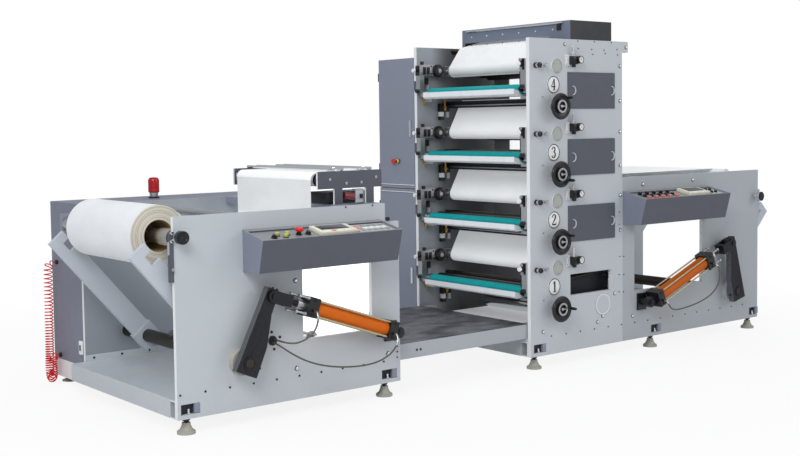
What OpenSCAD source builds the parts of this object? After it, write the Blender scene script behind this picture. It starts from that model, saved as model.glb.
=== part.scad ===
// Four-colour stack press for box board: unwinder, walkway, printing tower and rewinder.
// Machine frame: X along the line, zero at the tower's left edge; Y to the back, zero at
// the face of the unwinder's front panel; Z up from the floor. placed() moves it to the
// middle of the whole machine's footprint.

/* [Line] */
// Length of the unwinder's side panels
unwinder_len = 1513; // [1450:1:1700]
// Length of the walkway between unwinder and tower
bay_len = 1077; // [900:1:1400]
// Length of the tower's side plates
tower_len = 908; // [880:1:1050]
// Length of the rewinder's side panels
rewinder_len = 1597; // [1500:1:1800]
// Height of the panels' lower edge above the floor
panel_bottom = 90; // [70:1:130]
// Top of the unwinder's panels
unwinder_top = 1177; // [1150:1:1240]
// Top of the tower's plates
tower_top = 2200; // [2190:1:2300]
// Top of the rewinder's panels
rewinder_top = 1252; // [1230:1:1256]
// Thickness of the unwinder's and rewinder's side panels
panel_t = 25; // [18:1:32]
// Thickness of the tower's side plates
tower_t = 30; // [22:1:36]
// How far the tower and rewinder stand forward of the unwinder
setout = 35; // [25:1:45]
// Clear width between the tower's plates
tower_inner = 1125; // [1110:1:1160]
// Clear width between the unwinder's panels
unwinder_inner = 1350; // [1330:1:1420]

/* [Web] */
// Width of the paper web
web_w = 830; // [760:1:850]
// Thickness of the web
web_t = 2; // [1.5:0.1:3]
// Outer radius of the paper roll
roll_r = 167; // [140:1:180]
// Outer radius of the cardboard core
core_r = 100; // [94:1:110]
// Wall of the cardboard core
core_wall = 14; // [10:1:18]
// Radius of the small guide rollers
guide_r = 40; // [34:1:42]
// Radius of the rewound paper on its shaft
wound_r = 70; // [60:1:90]

/* [Printing stations] */
// Number of printing stations
station_count = 4; // [4:1:4]
// Height of the lowest handwheel
wheel_z = 400; // [395:1:410]
// Spacing of the stations
station_pitch = 450; // [445:1:460]
// Radius of the impression rollers
impression_r = 45; // [42:1:50]
// Radius of the bare shafts for the printing cylinders
plate_shaft_r = 20; // [18:1:24]
// Radius of the largest printing cylinder
print_r = 95; // [90:1:100]
// Radius of the anilox rollers
anilox_r = 42; // [38:1:46]
// Radius of the fountain rollers
fountain_r = 33; // [30:1:36]
// Length of the printing rollers' faces
face_len = 960; // [900:1:1000]
// Radius of the handwheels
handwheel_r = 88; // [70:1:95]
// Sheet of the ink trays
tray_wall = 4; // [3:0.5:6]

/* [Lift arms] */
// Length of the swing arms from pivot to tip
arm_len = 862; // [850:1:900]
// Width of the swing arms
arm_w = 124; // [100:1:140]
// Thickness of the swing arms
arm_t = 30; // [20:1:36]
// Unwinder arms above the horizontal, in degrees
unwind_arm_angle = 49; // [44:1:50]
// Rewinder arms above the horizontal, in degrees
rewind_arm_angle = 39; // [34:1:46]
// Lever length from shaft to clevis pin
lever_len = 386; // [360:1:400]
// Thickness of the lever
lever_t = 44; // [36:1:50]
// Radius of the lift shafts
lift_shaft_r = 40; // [32:1:46]
// Side of the cylinders' square end caps
cap_w = 112; // [100:1:120]
// Radius of the piston rods
rod_r = 16; // [13:1:20]

/* [Consoles and cabinets] */
// Length of the consoles
console_len = 955; // [900:1:980]
// How far the consoles stand out at the top
console_out = 212; // [180:1:240]
// Height of a console's back
console_h = 237; // [220:1:260]
// Depth of the unwinder's cabinet
cabinet_depth = 456; // [400:1:520]
// Depth of the drive cabinet behind the tower
drive_depth = 434; // [380:1:480]
// Length of the drive cabinet along the line
drive_len = 600; // [500:1:700]
// Top of the drive cabinet
drive_top = 2127; // [2050:1:2180]
// Sheet of the drive cabinet
drive_wall = 4; // [3:0.5:6]

/* [Hidden] */
$fn = 64;
// Running gap at shafts and between rollers and web
run_gap = 0.3;
// Gap round doors
door_gap = 5;
// Thin slack so that cuts pass through faces
eps = 1;

// Ends of the sections along the line
x_u0 = -bay_len - unwinder_len;
x_u1 = -bay_len;
x_t1 = tower_len;
x_r1 = tower_len + rewinder_len;

// Panel faces across the line
y_tf = -setout;
y_ti = y_tf + tower_t;
y_tb = y_ti + tower_inner;
y_ub = panel_t + unwinder_inner;
y_cab0 = y_ub + panel_t;
y_cab1 = y_cab0 + cabinet_depth;
y_rb = y_tb;
web_y0 = (y_ti + y_tb - web_w) / 2 + 50;
web_y1 = web_y0 + web_w;
face_y0 = (y_ti + y_tb - face_len) / 2;
face_y1 = face_y0 + face_len;

// Lift linkage: offsets of the pivots
arm_lever_angle = 64.5;
u_pivot = [x_u0 + 392, 359];
r_pivot = [x_r1 - 386, 340];
u_rear = [1044, 46];
r_rear = [1013, 16];
r_arm_lift = 6;
cyl_y = -80;

// Reel places
reel = [x_u0 + 15, 1064];
wound = [x_r1 - 54, 1048];

// Reaches of the machine, for the origin
tip_back = arm_w / 2;
mid_x = (u_pivot[0] - arm_len * cos(unwind_arm_angle) - tip_back * sin(unwind_arm_angle)
    + r_pivot[0] + arm_len * cos(rewind_arm_angle + r_arm_lift)
    + tip_back * sin(rewind_arm_angle + r_arm_lift)) / 2;
mid_y = (y_tf - console_out + y_cab1) / 2;

// Printing rollers, measured from a station's handwheel
impression = [270, 280];
fountain = [62, 118];
inking_dir = -4;
function polar(r, a) = [r * cos(a), r * sin(a)];
anilox = fountain + polar(anilox_r + fountain_r + run_gap, inking_dir);
// A printing cylinder on its shaft would touch both the anilox and the impression roller
nip = impression - anilox;
nip_along = (pow(anilox_r + print_r, 2) - pow(impression_r + print_r, 2) + nip * nip) / (2 * norm(nip));
nip_aside = sqrt(pow(anilox_r + print_r, 2) - pow(nip_along, 2));
plate_c = anilox + nip_along * unit(nip) + nip_aside * unit([nip[1], -nip[0]]);
turn_r = 23;
return_r = 35;
turn_offset = [360, 488];
return_offset = [640, 20];
riser_offset = [return_offset[0], impression[1] - 30];
journal_r = 16;
function wheel_height(i) = wheel_z + i * station_pitch;
function at_station(p, i) = [p[0], p[1] + wheel_height(i)];

// Guide rollers, each [x, z]
g_low = [x_u1 - 543, 400];
g_left = [g_low[0] + 2 * guide_r, 1325];
g_right = [x_u1 - 128, 1325];
g_down = [g_right[0] + 2 * guide_r, 300];
g_up = [600, 300];
t_left = [350, tower_top - turn_r - 2 * web_t];
t_right = [740, tower_top + 62];
g_out = [t_right[0] + 2 * guide_r, rewinder_top + 12 + guide_r];
g_end = [wound[0] - 200, g_out[1] - 2 * guide_r];

// Belt path through rollers [centre, radius, turn], turn 1 to the left and -1 to the right
function unit(v) = v / norm(v);
function heading(v) = atan2(v[1], v[0]);
function signed(w) = w[2] * (w[1] + run_gap + web_t / 2);
function span_normal(a, b) =
    heading(b[0] - a[0]) - acos((signed(a) - signed(b)) / norm(b[0] - a[0]));
function sweep(from, to, turn) =
    let (d = (to - from) * turn) turn * (d - 360 * floor(d / 360));
wrap_step = 8;
function wrap(w, from, to, side) =
    let (s = sweep(from, to, w[2]), n = ceil(abs(s) / wrap_step))
    [for (k = [0 : n]) w[0] + polar(signed(w) + side, from + (n > 0 ? s * k / n : 0))];
function return_path(i) = [at_station(return_offset, i), return_r, 1];
function riser_path(i) = [at_station(riser_offset, i), return_r, 1];
function turn_path(i) = [at_station(turn_offset, i), turn_r, -1];
function press_path(i) = [at_station(impression, i), impression_r, -1];
web_path = [
    [reel, roll_r, -1], [g_low, guide_r, 1], [g_left, guide_r, -1],
    [g_right, guide_r, -1], [g_down, guide_r, 1], [g_up, guide_r, 1],
    for (i = [0 : station_count - 1])
        each [return_path(i), riser_path(i), press_path(i),
            i < station_count - 1 ? turn_path(i) : [t_left, turn_r, -1]],
    [t_right, return_r, -1], [g_out, guide_r, 1],
    [g_end, guide_r, -1], [wound, wound_r, -1]
];
// Places in the path where one sheet ends and the next begins
infeed_end = 4;
print_end = infeed_end + 4 * station_count + 1;
path_end = len(web_path) - 1;
function web_edge(i0, i1, side) = [
    for (i = [i0 : i1])
        let (
            out = i < path_end ? span_normal(web_path[i], web_path[i + 1])
                : span_normal(web_path[i - 1], web_path[i]),
            in = i > i0 ? span_normal(web_path[i - 1], web_path[i]) : out
        )
        each wrap(web_path[i], in, out, side)
];
function flip(v) = [for (k = [len(v) - 1 : -1 : 0]) v[k]];

// Hose routes in the machine frame
coil_hose_r = 24;
air_hose_r = 5;
coil_route = [
    [-2505, 1770, 786], [-2523, 1770, 786], [-2543, 1770, 776], [-2554, 1771, 752],
    [-2556, 1773, 690], [-2555, 1776, 590], [-2554, 1780, 490], [-2553, 1785, 390],
    [-2552, 1791, 290], [-2551, 1797, 200], [-2551, 1802, 130], [-2551, 1800, 75],
    [-2551, 1782, 42], [-2551, 1760, 40], [-2552, 1744, 68], [-2553, 1742, 110],
    [-2550, 1746, 150], [-2540, 1750, 176], [-2524, 1752, 185], [-2505, 1752, 185]
];
unwind_front_route = [
    [-1984, -6.5, 455], [-1984, -30, 455], [-1979, -58, 452], [-1968, -86, 447],
    [-1950, -112, 443], [-1926, -136, 443], [-1900, -157, 452], [-1872, -174, 468],
    [-1846, -186, 492], [-1824, -191, 522], [-1811, -191, 553], [-1805, -187, 577],
    [-1803, -180, 595], [-1802, -167, 608], [-1802, -150.6, 610]
];
unwind_rear_route = [
    [-1994, -6.5, 439], [-1994, -28, 438], [-1991, -52, 433], [-1984, -76, 424],
    [-1971, -99, 410], [-1950, -119, 391], [-1922, -137, 371], [-1884, -152, 348],
    [-1836, -164, 326], [-1780, -173, 307], [-1715, -180, 291], [-1645, -185, 279],
    [-1570, -188, 271], [-1495, -190, 268], [-1425, -191, 272], [-1365, -192, 284],
    [-1315, -192, 304], [-1277, -192, 330], [-1251, -190, 360], [-1238, -183, 388],
    [-1235, -168, 411], [-1235, -150.6, 413]
];
rewind_hose_route = [
    [1747, -185.6, 587], [1747, -203, 586], [1749, -217, 576], [1753, -226, 560],
    [1758, -230, 537], [1763, -229, 507], [1764, -225, 474], [1758, -220, 442],
    [1742, -215, 412], [1716, -211, 386], [1678, -208, 362], [1630, -206, 342],
    [1572, -205, 326], [1508, -205, 313], [1440, -206, 304], [1370, -208, 298],
    [1305, -212, 296], [1250, -217, 302], [1212, -221, 317], [1193, -221, 338],
    [1187, -213, 358], [1186, -202, 367], [1186, -185.6, 368]
];

panel_grey = [0.75, 0.78, 0.80];
slate = [0.36, 0.38, 0.43];
cabinet_blue = [0.50, 0.53, 0.60];
steel = [0.70, 0.71, 0.72];
graphite = [0.18, 0.18, 0.19];
paper_white = [0.95, 0.95, 0.94];

// Shared shapes
module placed() {
    translate([-mid_x, -mid_y, 0]) children();
}

module block(x0, x1, y0, y1, z0, z1) {
    translate([x0, y0, z0]) cube([x1 - x0, y1 - y0, z1 - z0]);
}

module ycyl(c, r, y0, y1) {
    translate([c[0], y0, c[1]]) rotate([-90, 0, 0]) cylinder(r = r, h = y1 - y0);
}

module xcyl(y, z, r, x0, x1) {
    translate([x0, y, z]) rotate([0, 90, 0]) cylinder(r = r, h = x1 - x0);
}

// Flat shape in X and Z, as thick as t from y0 backwards
module xz_plate(y0, t) {
    translate([0, y0 + t, 0]) rotate([90, 0, 0]) linear_extrude(t) children();
}

// Flat shape in Y and Z, drawn out along X
module yz_bar(x0, x1) {
    translate([x0, 0, 0]) rotate([90, 0, 90]) linear_extrude(x1 - x0) children();
}

module rect(x0, x1, z0, z1) {
    translate([x0, z0]) square([x1 - x0, z1 - z0]);
}

// Roller with journals that reach its side plates
module roller(c, r, f0, f1, j0, j1, rj = journal_r) {
    ycyl(c, r, f0, f1);
    ycyl(c, rj, j0, j1);
}

// Side panels
window_z0 = 428;
window_z1 = 940;
u_window = [x_u0 + 809, x_u0 + 1303];
r_window = [x_t1 + 129, x_t1 + 897];
pocket_h = 57;
foot_w = 116;
u_feet = [x_u0 + 78, x_u1 - 84];
t_foot = 88;
r_feet = [x_t1 + 370, x_r1 - 48];
pocket_z = panel_bottom + 24;
u_step = [103, 112];

module pocket(x) {
    rect(x - foot_w / 2, x + foot_w / 2, pocket_z, pocket_z + pocket_h);
}

module unwinder_front_panel() {
    color(panel_grey) placed() xz_plate(0, panel_t) difference() {
        polygon([
            [x_u0, panel_bottom], [x_u1, panel_bottom], [x_u1, unwinder_top - u_step[1]],
            [x_u1 - u_step[0], unwinder_top - u_step[1]], [x_u1 - u_step[0], unwinder_top],
            [x_u0, unwinder_top]
        ]);
        rect(u_window[0], u_window[1], window_z0, window_z1);
        for (x = u_feet) pocket(x);
        translate(u_pivot) circle(lift_shaft_r + run_gap);
    }
}

plinth_z0 = 43;
plinth_top = 157;
cab_x0 = x_u0 + 98;

module unwinder_back_panel() {
    color(panel_grey) placed() difference() {
        block(cab_x0, x_u1, y_ub, y_cab0, plinth_top, unwinder_top);
        ycyl(u_pivot, lift_shaft_r + run_gap, y_ub - eps, y_ub + panel_t / 2);
    }
}

channel_h = 100;
flange_w = 60;
channel_wall = 8;

// Channel section along X, its back to the panel and its mouth to the inside
module channel(x0, x1, y_back, z0, dir = 1) {
    yz_bar(x0, x1) translate([y_back, z0]) polygon([
        [0, 0], [dir * flange_w, 0], [dir * flange_w, channel_wall],
        [dir * channel_wall, channel_wall], [dir * channel_wall, channel_h - channel_wall],
        [dir * flange_w, channel_h - channel_wall], [dir * flange_w, channel_h], [0, channel_h]
    ]);
}

beam_top = panel_bottom + channel_h;
tower_beam_top = 215;
beam_w = 100;
floor_t = 4;

module base_channels() {
    color(panel_grey) placed() {
        channel(x_u0, x_u1, panel_t, panel_bottom);
        channel(0, x_t1, y_ti, panel_bottom);
        channel(0, x_t1, y_tb, panel_bottom, -1);
        channel(x_t1, x_r1, y_tf + panel_t, panel_bottom);
        channel(x_t1, x_r1, y_rb, panel_bottom, -1);
    }
}

module cross_beams() {
    color(panel_grey) placed() {
        block(x_u0, x_u1, panel_t, y_ub - 5, beam_top, beam_top + floor_t);
        for (x = [x_u0, x_u1 - beam_w])
            block(x, x + beam_w, panel_t + flange_w, y_ub - 5, panel_bottom, beam_top);
        for (x = [0, x_t1 - beam_w]) {
            block(x, x + beam_w, y_ti + flange_w, y_tb - flange_w, panel_bottom, beam_top);
            block(x, x + beam_w, y_ti, y_tb, beam_top, tower_beam_top);
        }
        block(x_r1 - 2 * beam_w, x_r1 - beam_w, y_tf + panel_t + flange_w, y_rb - flange_w,
            panel_bottom, beam_top);
        for (x = guide_beam_x)
            block(x, x + guide_beam[0], panel_t, y_ub, guide_beam[1], guide_beam[2]);
    }
}

module cabinet_plinth() {
    color(panel_grey) placed() block(cab_x0, x_u1, y_ub - 5, y_cab1, plinth_z0, plinth_top);
}

module unwinder_cabinet() {
    color(cabinet_blue) placed() block(cab_x0, x_u1, y_cab0, y_cab1, plinth_top, unwinder_top);
}

tab_w = 61;
tab_h = 75;
hole_1 = [380, 795, 470, 613];

module tower_front_plate() {
    color(panel_grey) placed() xz_plate(y_tf, tower_t) difference() {
        polygon([
            [0, panel_bottom], [x_t1, panel_bottom], [x_t1, tower_top - tab_h],
            [x_t1 + tab_w, tower_top - tab_h], [x_t1 + tab_w, tower_top], [0, tower_top]
        ]);
        rect(hole_1[0], hole_1[1], hole_1[2], hole_1[3]);
        pocket(t_foot);
    }
}

notch = [110, 135, 205];

module tower_back_plate() {
    color(panel_grey) placed() xz_plate(y_tb, tower_t) difference() {
        polygon([
            [0, panel_bottom], [x_t1, panel_bottom], [x_t1, tower_top - tab_h],
            [x_t1 + tab_w, tower_top - tab_h], [x_t1 + tab_w, tower_top], [0, tower_top]
        ]);
        for (i = [0 : station_count - 1])
            rect(-eps, notch[0], wheel_height(i) + notch[1], wheel_height(i) + notch[2]);
    }
}

r_window_z1 = 985;
r_chamfer = 70;

module rewinder_outline() {
    difference() {
        rect(x_t1, x_r1, panel_bottom, rewinder_top);
        polygon([
            [r_window[0], window_z0 + 10], [r_window[1], window_z0 + 10],
            [r_window[1], r_window_z1 - r_chamfer], [r_window[1] - r_chamfer, r_window_z1],
            [r_window[0] + r_chamfer, r_window_z1], [r_window[0], r_window_z1 - r_chamfer]
        ]);
        children();
    }
}

module rewinder_front_panel() {
    color(panel_grey) placed() xz_plate(y_tf, panel_t) rewinder_outline() {
        for (x = r_feet) pocket(x);
        translate(r_pivot) circle(lift_shaft_r + run_gap);
    }
}

module rewinder_back_panel() {
    color(panel_grey) placed() xz_plate(y_rb, panel_t) rewinder_outline()
        translate(r_pivot) circle(lift_shaft_r + run_gap);
}

tie_r = 22;
tie_places = [[850, 2140], [850, 1700], [850, 1000], [850, 560]];
rewinder_ties = [[x_t1 + 300, 300], [x_r1 - 700, 300], [x_r1 - 420, 1100]];
unwinder_ties = [[x_u0 + 700, 300], [x_u0 + 640, 1120]];

module tie_bars() {
    color(steel) placed() {
        for (p = tie_places) ycyl(p, tie_r, y_ti, y_tb);
        for (p = rewinder_ties) ycyl(p, tie_r, y_tf + panel_t, y_rb);
        for (p = unwinder_ties) ycyl(p, tie_r, panel_t, y_ub);
    }
}

// Walkway
walk_top = 315;
walk_sheet = 4;
walk_z0 = 215;
walk_y1 = y_tb - 20;

module walkway_sheet() {
    color([0.36, 0.37, 0.38]) placed()
        block(x_u1, 0, 0, walk_y1, walk_top - walk_sheet, walk_top);
}

module walkway_channels() {
    channel_y = walk_top - walk_sheet - walk_z0;
    color(panel_grey) placed() for (y = [[0, 1], [walk_y1, -1]])
        yz_bar(x_u1, beam_w) translate([y[0], walk_z0]) polygon([
            [0, 0], [y[1] * flange_w, 0], [y[1] * flange_w, channel_wall],
            [y[1] * channel_wall, channel_wall], [y[1] * channel_wall, channel_y - channel_wall],
            [y[1] * flange_w, channel_y - channel_wall], [y[1] * flange_w, channel_y],
            [0, channel_y]
        ]);
}

// Consoles: the front leans in below its upper edge, and the top holds a sunk control field
console_drop = 48;
console_lean = 47;
rim = 12;
sunk = 10;
field_back = 40;
u_console = [x_u0 + 420, 846];
r_console = [x_t1 + 4, 918];
slope = atan(console_drop / console_out);

module console(x, z0, y) {
    difference() {
        yz_bar(x, x + console_len) translate([y, z0]) polygon([
            [0, 0], [-console_out + console_lean, 7], [-console_out, console_h - console_drop],
            [0, console_h]
        ]);
        control_field(x, z0, y)
            translate([rim, -console_out / cos(slope) + rim, -sunk])
                cube([console_len - 2 * rim, console_out / cos(slope) - rim - field_back, sunk + eps]);
    }
}

// Local frame on a console's sloping top: X along, Y up the slope to its back edge
module control_field(x, z0, y) {
    translate([x, y, z0 + console_h]) rotate([slope, 0, 0]) children();
}

module consoles() {
    color(slate) placed() {
        console(u_console[0], u_console[1], 0);
        console(r_console[0], r_console[1], y_tf);
    }
}

// Buttons as [along, up from the front edge, radius, height]
u_buttons = [
    [110, 60, 17, 30], [150, 95, 15, 16], [185, 60, 15, 16], [215, 95, 15, 16],
    [345, 80, 16, 30]
];
r_rows = 3;
r_columns = 5;

module button(u, v, r, h) {
    translate([u, v - console_out / cos(slope), -sunk]) cylinder(r = r, h = h);
}

module panel_box(u, v, w, d, h) {
    translate([u, v - console_out / cos(slope), -sunk]) cube([w, d, h]);
}

module console_controls() {
    color([0.85, 0.84, 0.78]) placed() {
        control_field(u_console[0], u_console[1], 0) {
            for (b = u_buttons) button(b[0], b[1], b[2], b[3]);
            button(285, 85, 24, sunk + 30);
            panel_box(400, 30, 255, 130, 26);
            panel_box(680, 30, 235, 130, 14);
        }
        control_field(r_console[0], r_console[1], y_tf) {
            for (i = [0 : r_columns - 1], j = [0 : r_rows - 1])
                button(90 + 75 * i, 45 + 45 * j, 14, 20 + 6 * (j % 2));
            panel_box(520, 30, 230, 130, 26);
            panel_box(780, 30, 120, 130, 14);
        }
    }
}

// Reel: paper on a core, an air shaft through it, and chucks on both panels
chuck_r = 46;
air_shaft_r = 38;
near_chuck_y1 = 150;
far_chuck_y0 = web_y1 + 50;
chuck_depth = 60;
adapter_len = 60;
adapter_in = 240;
knob_r = 36;
knob_neck = 36;
knob_t = 34;
edge_lever = [22, 830, 1095];

module paper_roll() {
    color(paper_white) placed() difference() {
        ycyl(reel, roll_r, web_y0, web_y1);
        ycyl(reel, core_r - core_wall, web_y0 - eps, web_y1 + eps);
    }
}

module reel_shaft() {
    color(steel) placed() {
        ycyl(reel, air_shaft_r, near_chuck_y1 - chuck_depth + eps, far_chuck_y0 + chuck_depth - eps);
        for (y = [web_y0 + adapter_in, web_y1 - adapter_in - adapter_len])
            ycyl(reel, core_r - core_wall - run_gap, y, y + adapter_len);
    }
}

module reel_chucks() {
    color(graphite) placed() {
        difference() {
            ycyl(reel, chuck_r, panel_t, near_chuck_y1);
            ycyl(reel, air_shaft_r + run_gap, near_chuck_y1 - chuck_depth, near_chuck_y1 + eps);
        }
        difference() {
            ycyl(reel, chuck_r, far_chuck_y0, y_ub);
            ycyl(reel, air_shaft_r + run_gap, far_chuck_y0 - eps, far_chuck_y0 + chuck_depth);
        }
        block(cab_x0 - 130, cab_x0, y_ub - eps, y_ub + panel_t, reel[1] - 60, reel[1] + 60);
        block(x_u0 - edge_lever[0], x_u0, 0, panel_t, edge_lever[1], edge_lever[2]);
        ycyl([reel[0] + 6, reel[1] + 5], knob_r / 2, -knob_neck, 0);
        ycyl([reel[0] + 6, reel[1] + 5], knob_r, -knob_neck - knob_t, -knob_neck);
        ycyl(wound, knob_r / 2, y_tf - knob_neck, y_tf);
        ycyl(wound, knob_r, y_tf - knob_neck - knob_t, y_tf - knob_neck);
        block(x_r1, x_r1 + edge_lever[0], y_tf, y_tf + panel_t, wound[1] - 170, wound[1] + 50);
    }
}

module rewind_shaft() {
    color(paper_white) placed() {
        ycyl(wound, air_shaft_r, y_tf + panel_t, y_rb);
        ycyl(wound, wound_r, web_y0, web_y1);
    }
}

// Rollers that carry the web
module guide_rollers() {
    color(steel) placed() {
        for (g = [g_low, g_down]) roller(g, guide_r, web_y0 - 40, web_y1 + 40, panel_t, y_ub);
        for (g = [g_left, g_right])
            roller(g, guide_r, web_y0 - 20, web_y1 + 20, guide_near + guide_plate_t, guide_far);
        roller(g_up, guide_r, face_y0, face_y1, y_ti, y_tb);
        roller(g_out, guide_r, face_y0, face_y1, y_ti, y_tb);
        roller(g_end, guide_r, face_y0, face_y1, y_tf + panel_t, y_rb);
    }
}

// Web guide over the unwinder
guide_near = 122;
guide_far = web_y1 + 40;
guide_plate_t = 14;
guide_plate_z = [1271, 1375];
guide_x = [g_left[0] - 10, x_u1 - 30];
guide_beam = [60, 1130, 1177];
guide_beam_x = [guide_x[0] + 90, guide_x[1] - 120];

module web_guide_frame() {
    color(slate) placed() for (y = [guide_near, guide_far]) xz_plate(y, guide_plate_t) union() {
        rect(guide_x[0] - 30, guide_x[1], guide_plate_z[0], guide_plate_z[1]);
        for (x = guide_beam_x) rect(x, x + guide_beam[0], guide_beam[2], guide_plate_z[0] + eps);
    }
}

rod_places = [80, 150, 300, 360];
top_rod_r = 9;

module web_guide_rods() {
    color(steel) placed() for (u = rod_places)
        ycyl([guide_x[0] + u, guide_plate_z[1] + top_rod_r + run_gap], top_rod_r, guide_near, guide_far + 10);
}

module web(i0, i1) {
    color(paper_white) placed() xz_plate(web_y0, web_w)
        polygon(concat(web_edge(i0, i1, web_t / 2), flip(web_edge(i0, i1, -web_t / 2))));
}

module web_infeed() {
    web(0, infeed_end);
}

module web_print() {
    web(infeed_end, print_end);
}

module web_outfeed() {
    web(print_end, path_end);
}

// Printing stations
module each_station() {
    for (i = [0 : station_count - 1]) translate([0, 0, wheel_height(i)]) children();
}

module press_rollers(c, r) {
    placed() each_station() roller(c, r, face_y0, face_y1, y_ti, y_tb);
}

module fountain_rollers() {
    color([0.25, 0.66, 0.64]) press_rollers(fountain, fountain_r);
}

module anilox_rollers() {
    color(graphite) press_rollers(anilox, anilox_r);
}

module plate_shafts() {
    color(steel) press_rollers(plate_c, plate_shaft_r);
}

module impression_rollers() {
    color(steel) press_rollers(impression, impression_r);
}

module turn_rollers() {
    color(steel) placed() {
        for (i = [0 : station_count - 2])
            roller(at_station(turn_offset, i), turn_r, face_y0, face_y1, y_ti, y_tb);
        for (i = [0 : station_count - 1], p = [return_offset, riser_offset])
            roller(at_station(p, i), return_r, face_y0, face_y1, y_ti, y_tb);
        roller(t_left, turn_r, face_y0, face_y1, y_ti, y_tb);
        roller(t_right, return_r, web_y0 - 30, web_y1 + 30, box_y0 + box_wall, box_y1 - box_wall);
    }
}

// Ink tray: an open trough under the fountain roller
tray_gap = 8;
tray_in = 12;
tray_floor = fountain[1] - fountain_r - tray_gap;
tray_x = [fountain[0] - fountain_r - 51, fountain[0] + fountain_r - 6];
tray_lip = fountain[1] + 2;
tray_back = fountain[1] - 30;

module tray_profile(inset) {
    polygon([
        [tray_x[0] + inset, tray_lip + (inset > 0 ? 2 * eps : 0)],
        [tray_x[0] + inset, tray_floor - tray_wall + inset + 12],
        [tray_x[0] + 16 + inset, tray_floor - tray_wall + inset],
        [tray_x[1] - inset, tray_floor - tray_wall + inset],
        [tray_x[1] - inset, tray_back + (inset > 0 ? 2 * eps : 0)]
    ]);
}

module ink_trays() {
    y0 = face_y0 + tray_in;
    y1 = face_y1 - tray_in;
    color([0.93, 0.94, 0.95]) placed() each_station() difference() {
        xz_plate(y0, y1 - y0) tray_profile(0);
        xz_plate(y0 + tray_wall, y1 - y0 - 2 * tray_wall) tray_profile(tray_wall);
        ycyl(fountain, fountain_r + tray_gap / 2, y0 - eps, y1 + eps);
    }
}

bracket_h = 20;

module tray_supports() {
    z1 = tray_floor - tray_wall;
    for (y = [[y_ti, face_y0 + 2 * tray_in], [face_y1 - 2 * tray_in, y_tb]])
        block(fountain[0] - 10, fountain[0] + 30, y[0], y[1], z1 - bracket_h, z1);
}

slide_t = 45;
slide_h = 72;
bearing_r = 38;
bearing_box = [44, 54];
screw_r = 10;
screw_knob = [14, 16];
screw_out = 28;

// Adjusting screw at the plates' left edge, with its knob
module edge_screw(y, z, x) {
    xcyl(y, z, screw_r, x - screw_out, x);
    xcyl(y, z, screw_knob[0], x - screw_out - screw_knob[1], x - screw_out);
}

module station_brackets() {
    color([0.45, 0.46, 0.48]) placed() each_station() {
        tray_supports();
        for (y = [y_ti, y_tb - slide_t]) {
            difference() {
                union() {
                    block(-12, impression[0] - bearing_r, y, y + slide_t,
                        impression[1] - slide_h / 2, impression[1] + slide_h / 2);
                    block(impression[0] - bearing_r - eps, impression[0], y, y + slide_t,
                        impression[1] - slide_h / 4, impression[1] + slide_h / 4);
                    ycyl(impression, bearing_r, y, y + slide_t);
                    block(fountain[0] - bearing_box[0], fountain[0] + bearing_box[0] / 2, y, y + slide_t,
                        fountain[1] - bearing_box[1] / 2, fountain[1] + bearing_box[1] / 2);
                    block(-8, 34, y, y + slide_t, fountain[1], impression[1]);
                }
                for (c = [impression, fountain])
                    ycyl(c, journal_r + run_gap, y - eps, y + slide_t + eps);
            }
            edge_screw(y + slide_t / 2, impression[1], -12);
            edge_screw(y + slide_t / 2, fountain[1] + 14, fountain[0] - bearing_box[0]);
        }
    }
}

// Fittings on the tower's front
cover = [358, 825, -15, 230];
cover_t = 6;
grip_r = 32;
grip_w = 5;

module d_grip(x, z) {
    translate([x, y_tf - cover_t, z]) rotate([90, 0, 0]) linear_extrude(8) intersection() {
        difference() {
            circle(grip_r);
            circle(grip_r - grip_w);
        }
        translate([0, -grip_r]) square([grip_r, 2 * grip_r]);
    }
}

module window_covers() {
    color(slate) placed() for (i = [1 : station_count - 1]) {
        block(cover[0], cover[1], y_tf - cover_t, y_tf,
            wheel_height(i) + cover[2], wheel_height(i) + cover[3]);
        for (x = [cover[0] + 40, cover[1] - 40])
            d_grip(x, wheel_height(i) + (cover[2] + cover[3]) / 2);
    }
}

wheel_x = 223;
regulator = [398, 308];

module air_regulators() {
    color(graphite) placed() each_station() {
        block(regulator[0] - 30, regulator[0] + 30, y_tf - 44, y_tf, regulator[1] - 28,
            regulator[1] + 28);
        ycyl([regulator[0] + 34, regulator[1] + 4], 26, y_tf - 62, y_tf);
        ycyl([regulator[0] - 52, regulator[1] + 8], 12, y_tf - 36, y_tf);
    }
}

number_disc = [218, 145, 56];
plug_disc = [253, 269, 48];
pin_knob = [55, 270, 14];
round_boss = [700, 378, 72];
disc_t = 6;

module station_discs() {
    color([0.86, 0.88, 0.86]) placed() {
        each_station() {
            ycyl(number_disc, number_disc[2], y_tf - disc_t, y_tf);
            ycyl(plug_disc, plug_disc[2], y_tf - disc_t, y_tf);
            ycyl(pin_knob, pin_knob[2], y_tf - 50, y_tf);
            ycyl([pin_knob[0] + 70, pin_knob[1]], pin_knob[2], y_tf - 30, y_tf);
        }
        ycyl(round_boss, round_boss[2], y_tf - disc_t, y_tf);
    }
}

// Handwheels on short spindles
spindle_r = 15;
hub_r = 30;
hub_t = 22;
rim_r = 11;
handle_angles = [0, 35, -34, 52];
wheel_y = y_tf - 70;

module handwheel_bearings() {
    color(steel) placed() each_station() difference() {
        ycyl([wheel_x, 0], hub_r, y_tf - hub_t, y_tf);
        ycyl([wheel_x, 0], spindle_r + run_gap, y_tf - hub_t - eps, y_tf + eps);
    }
}

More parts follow.
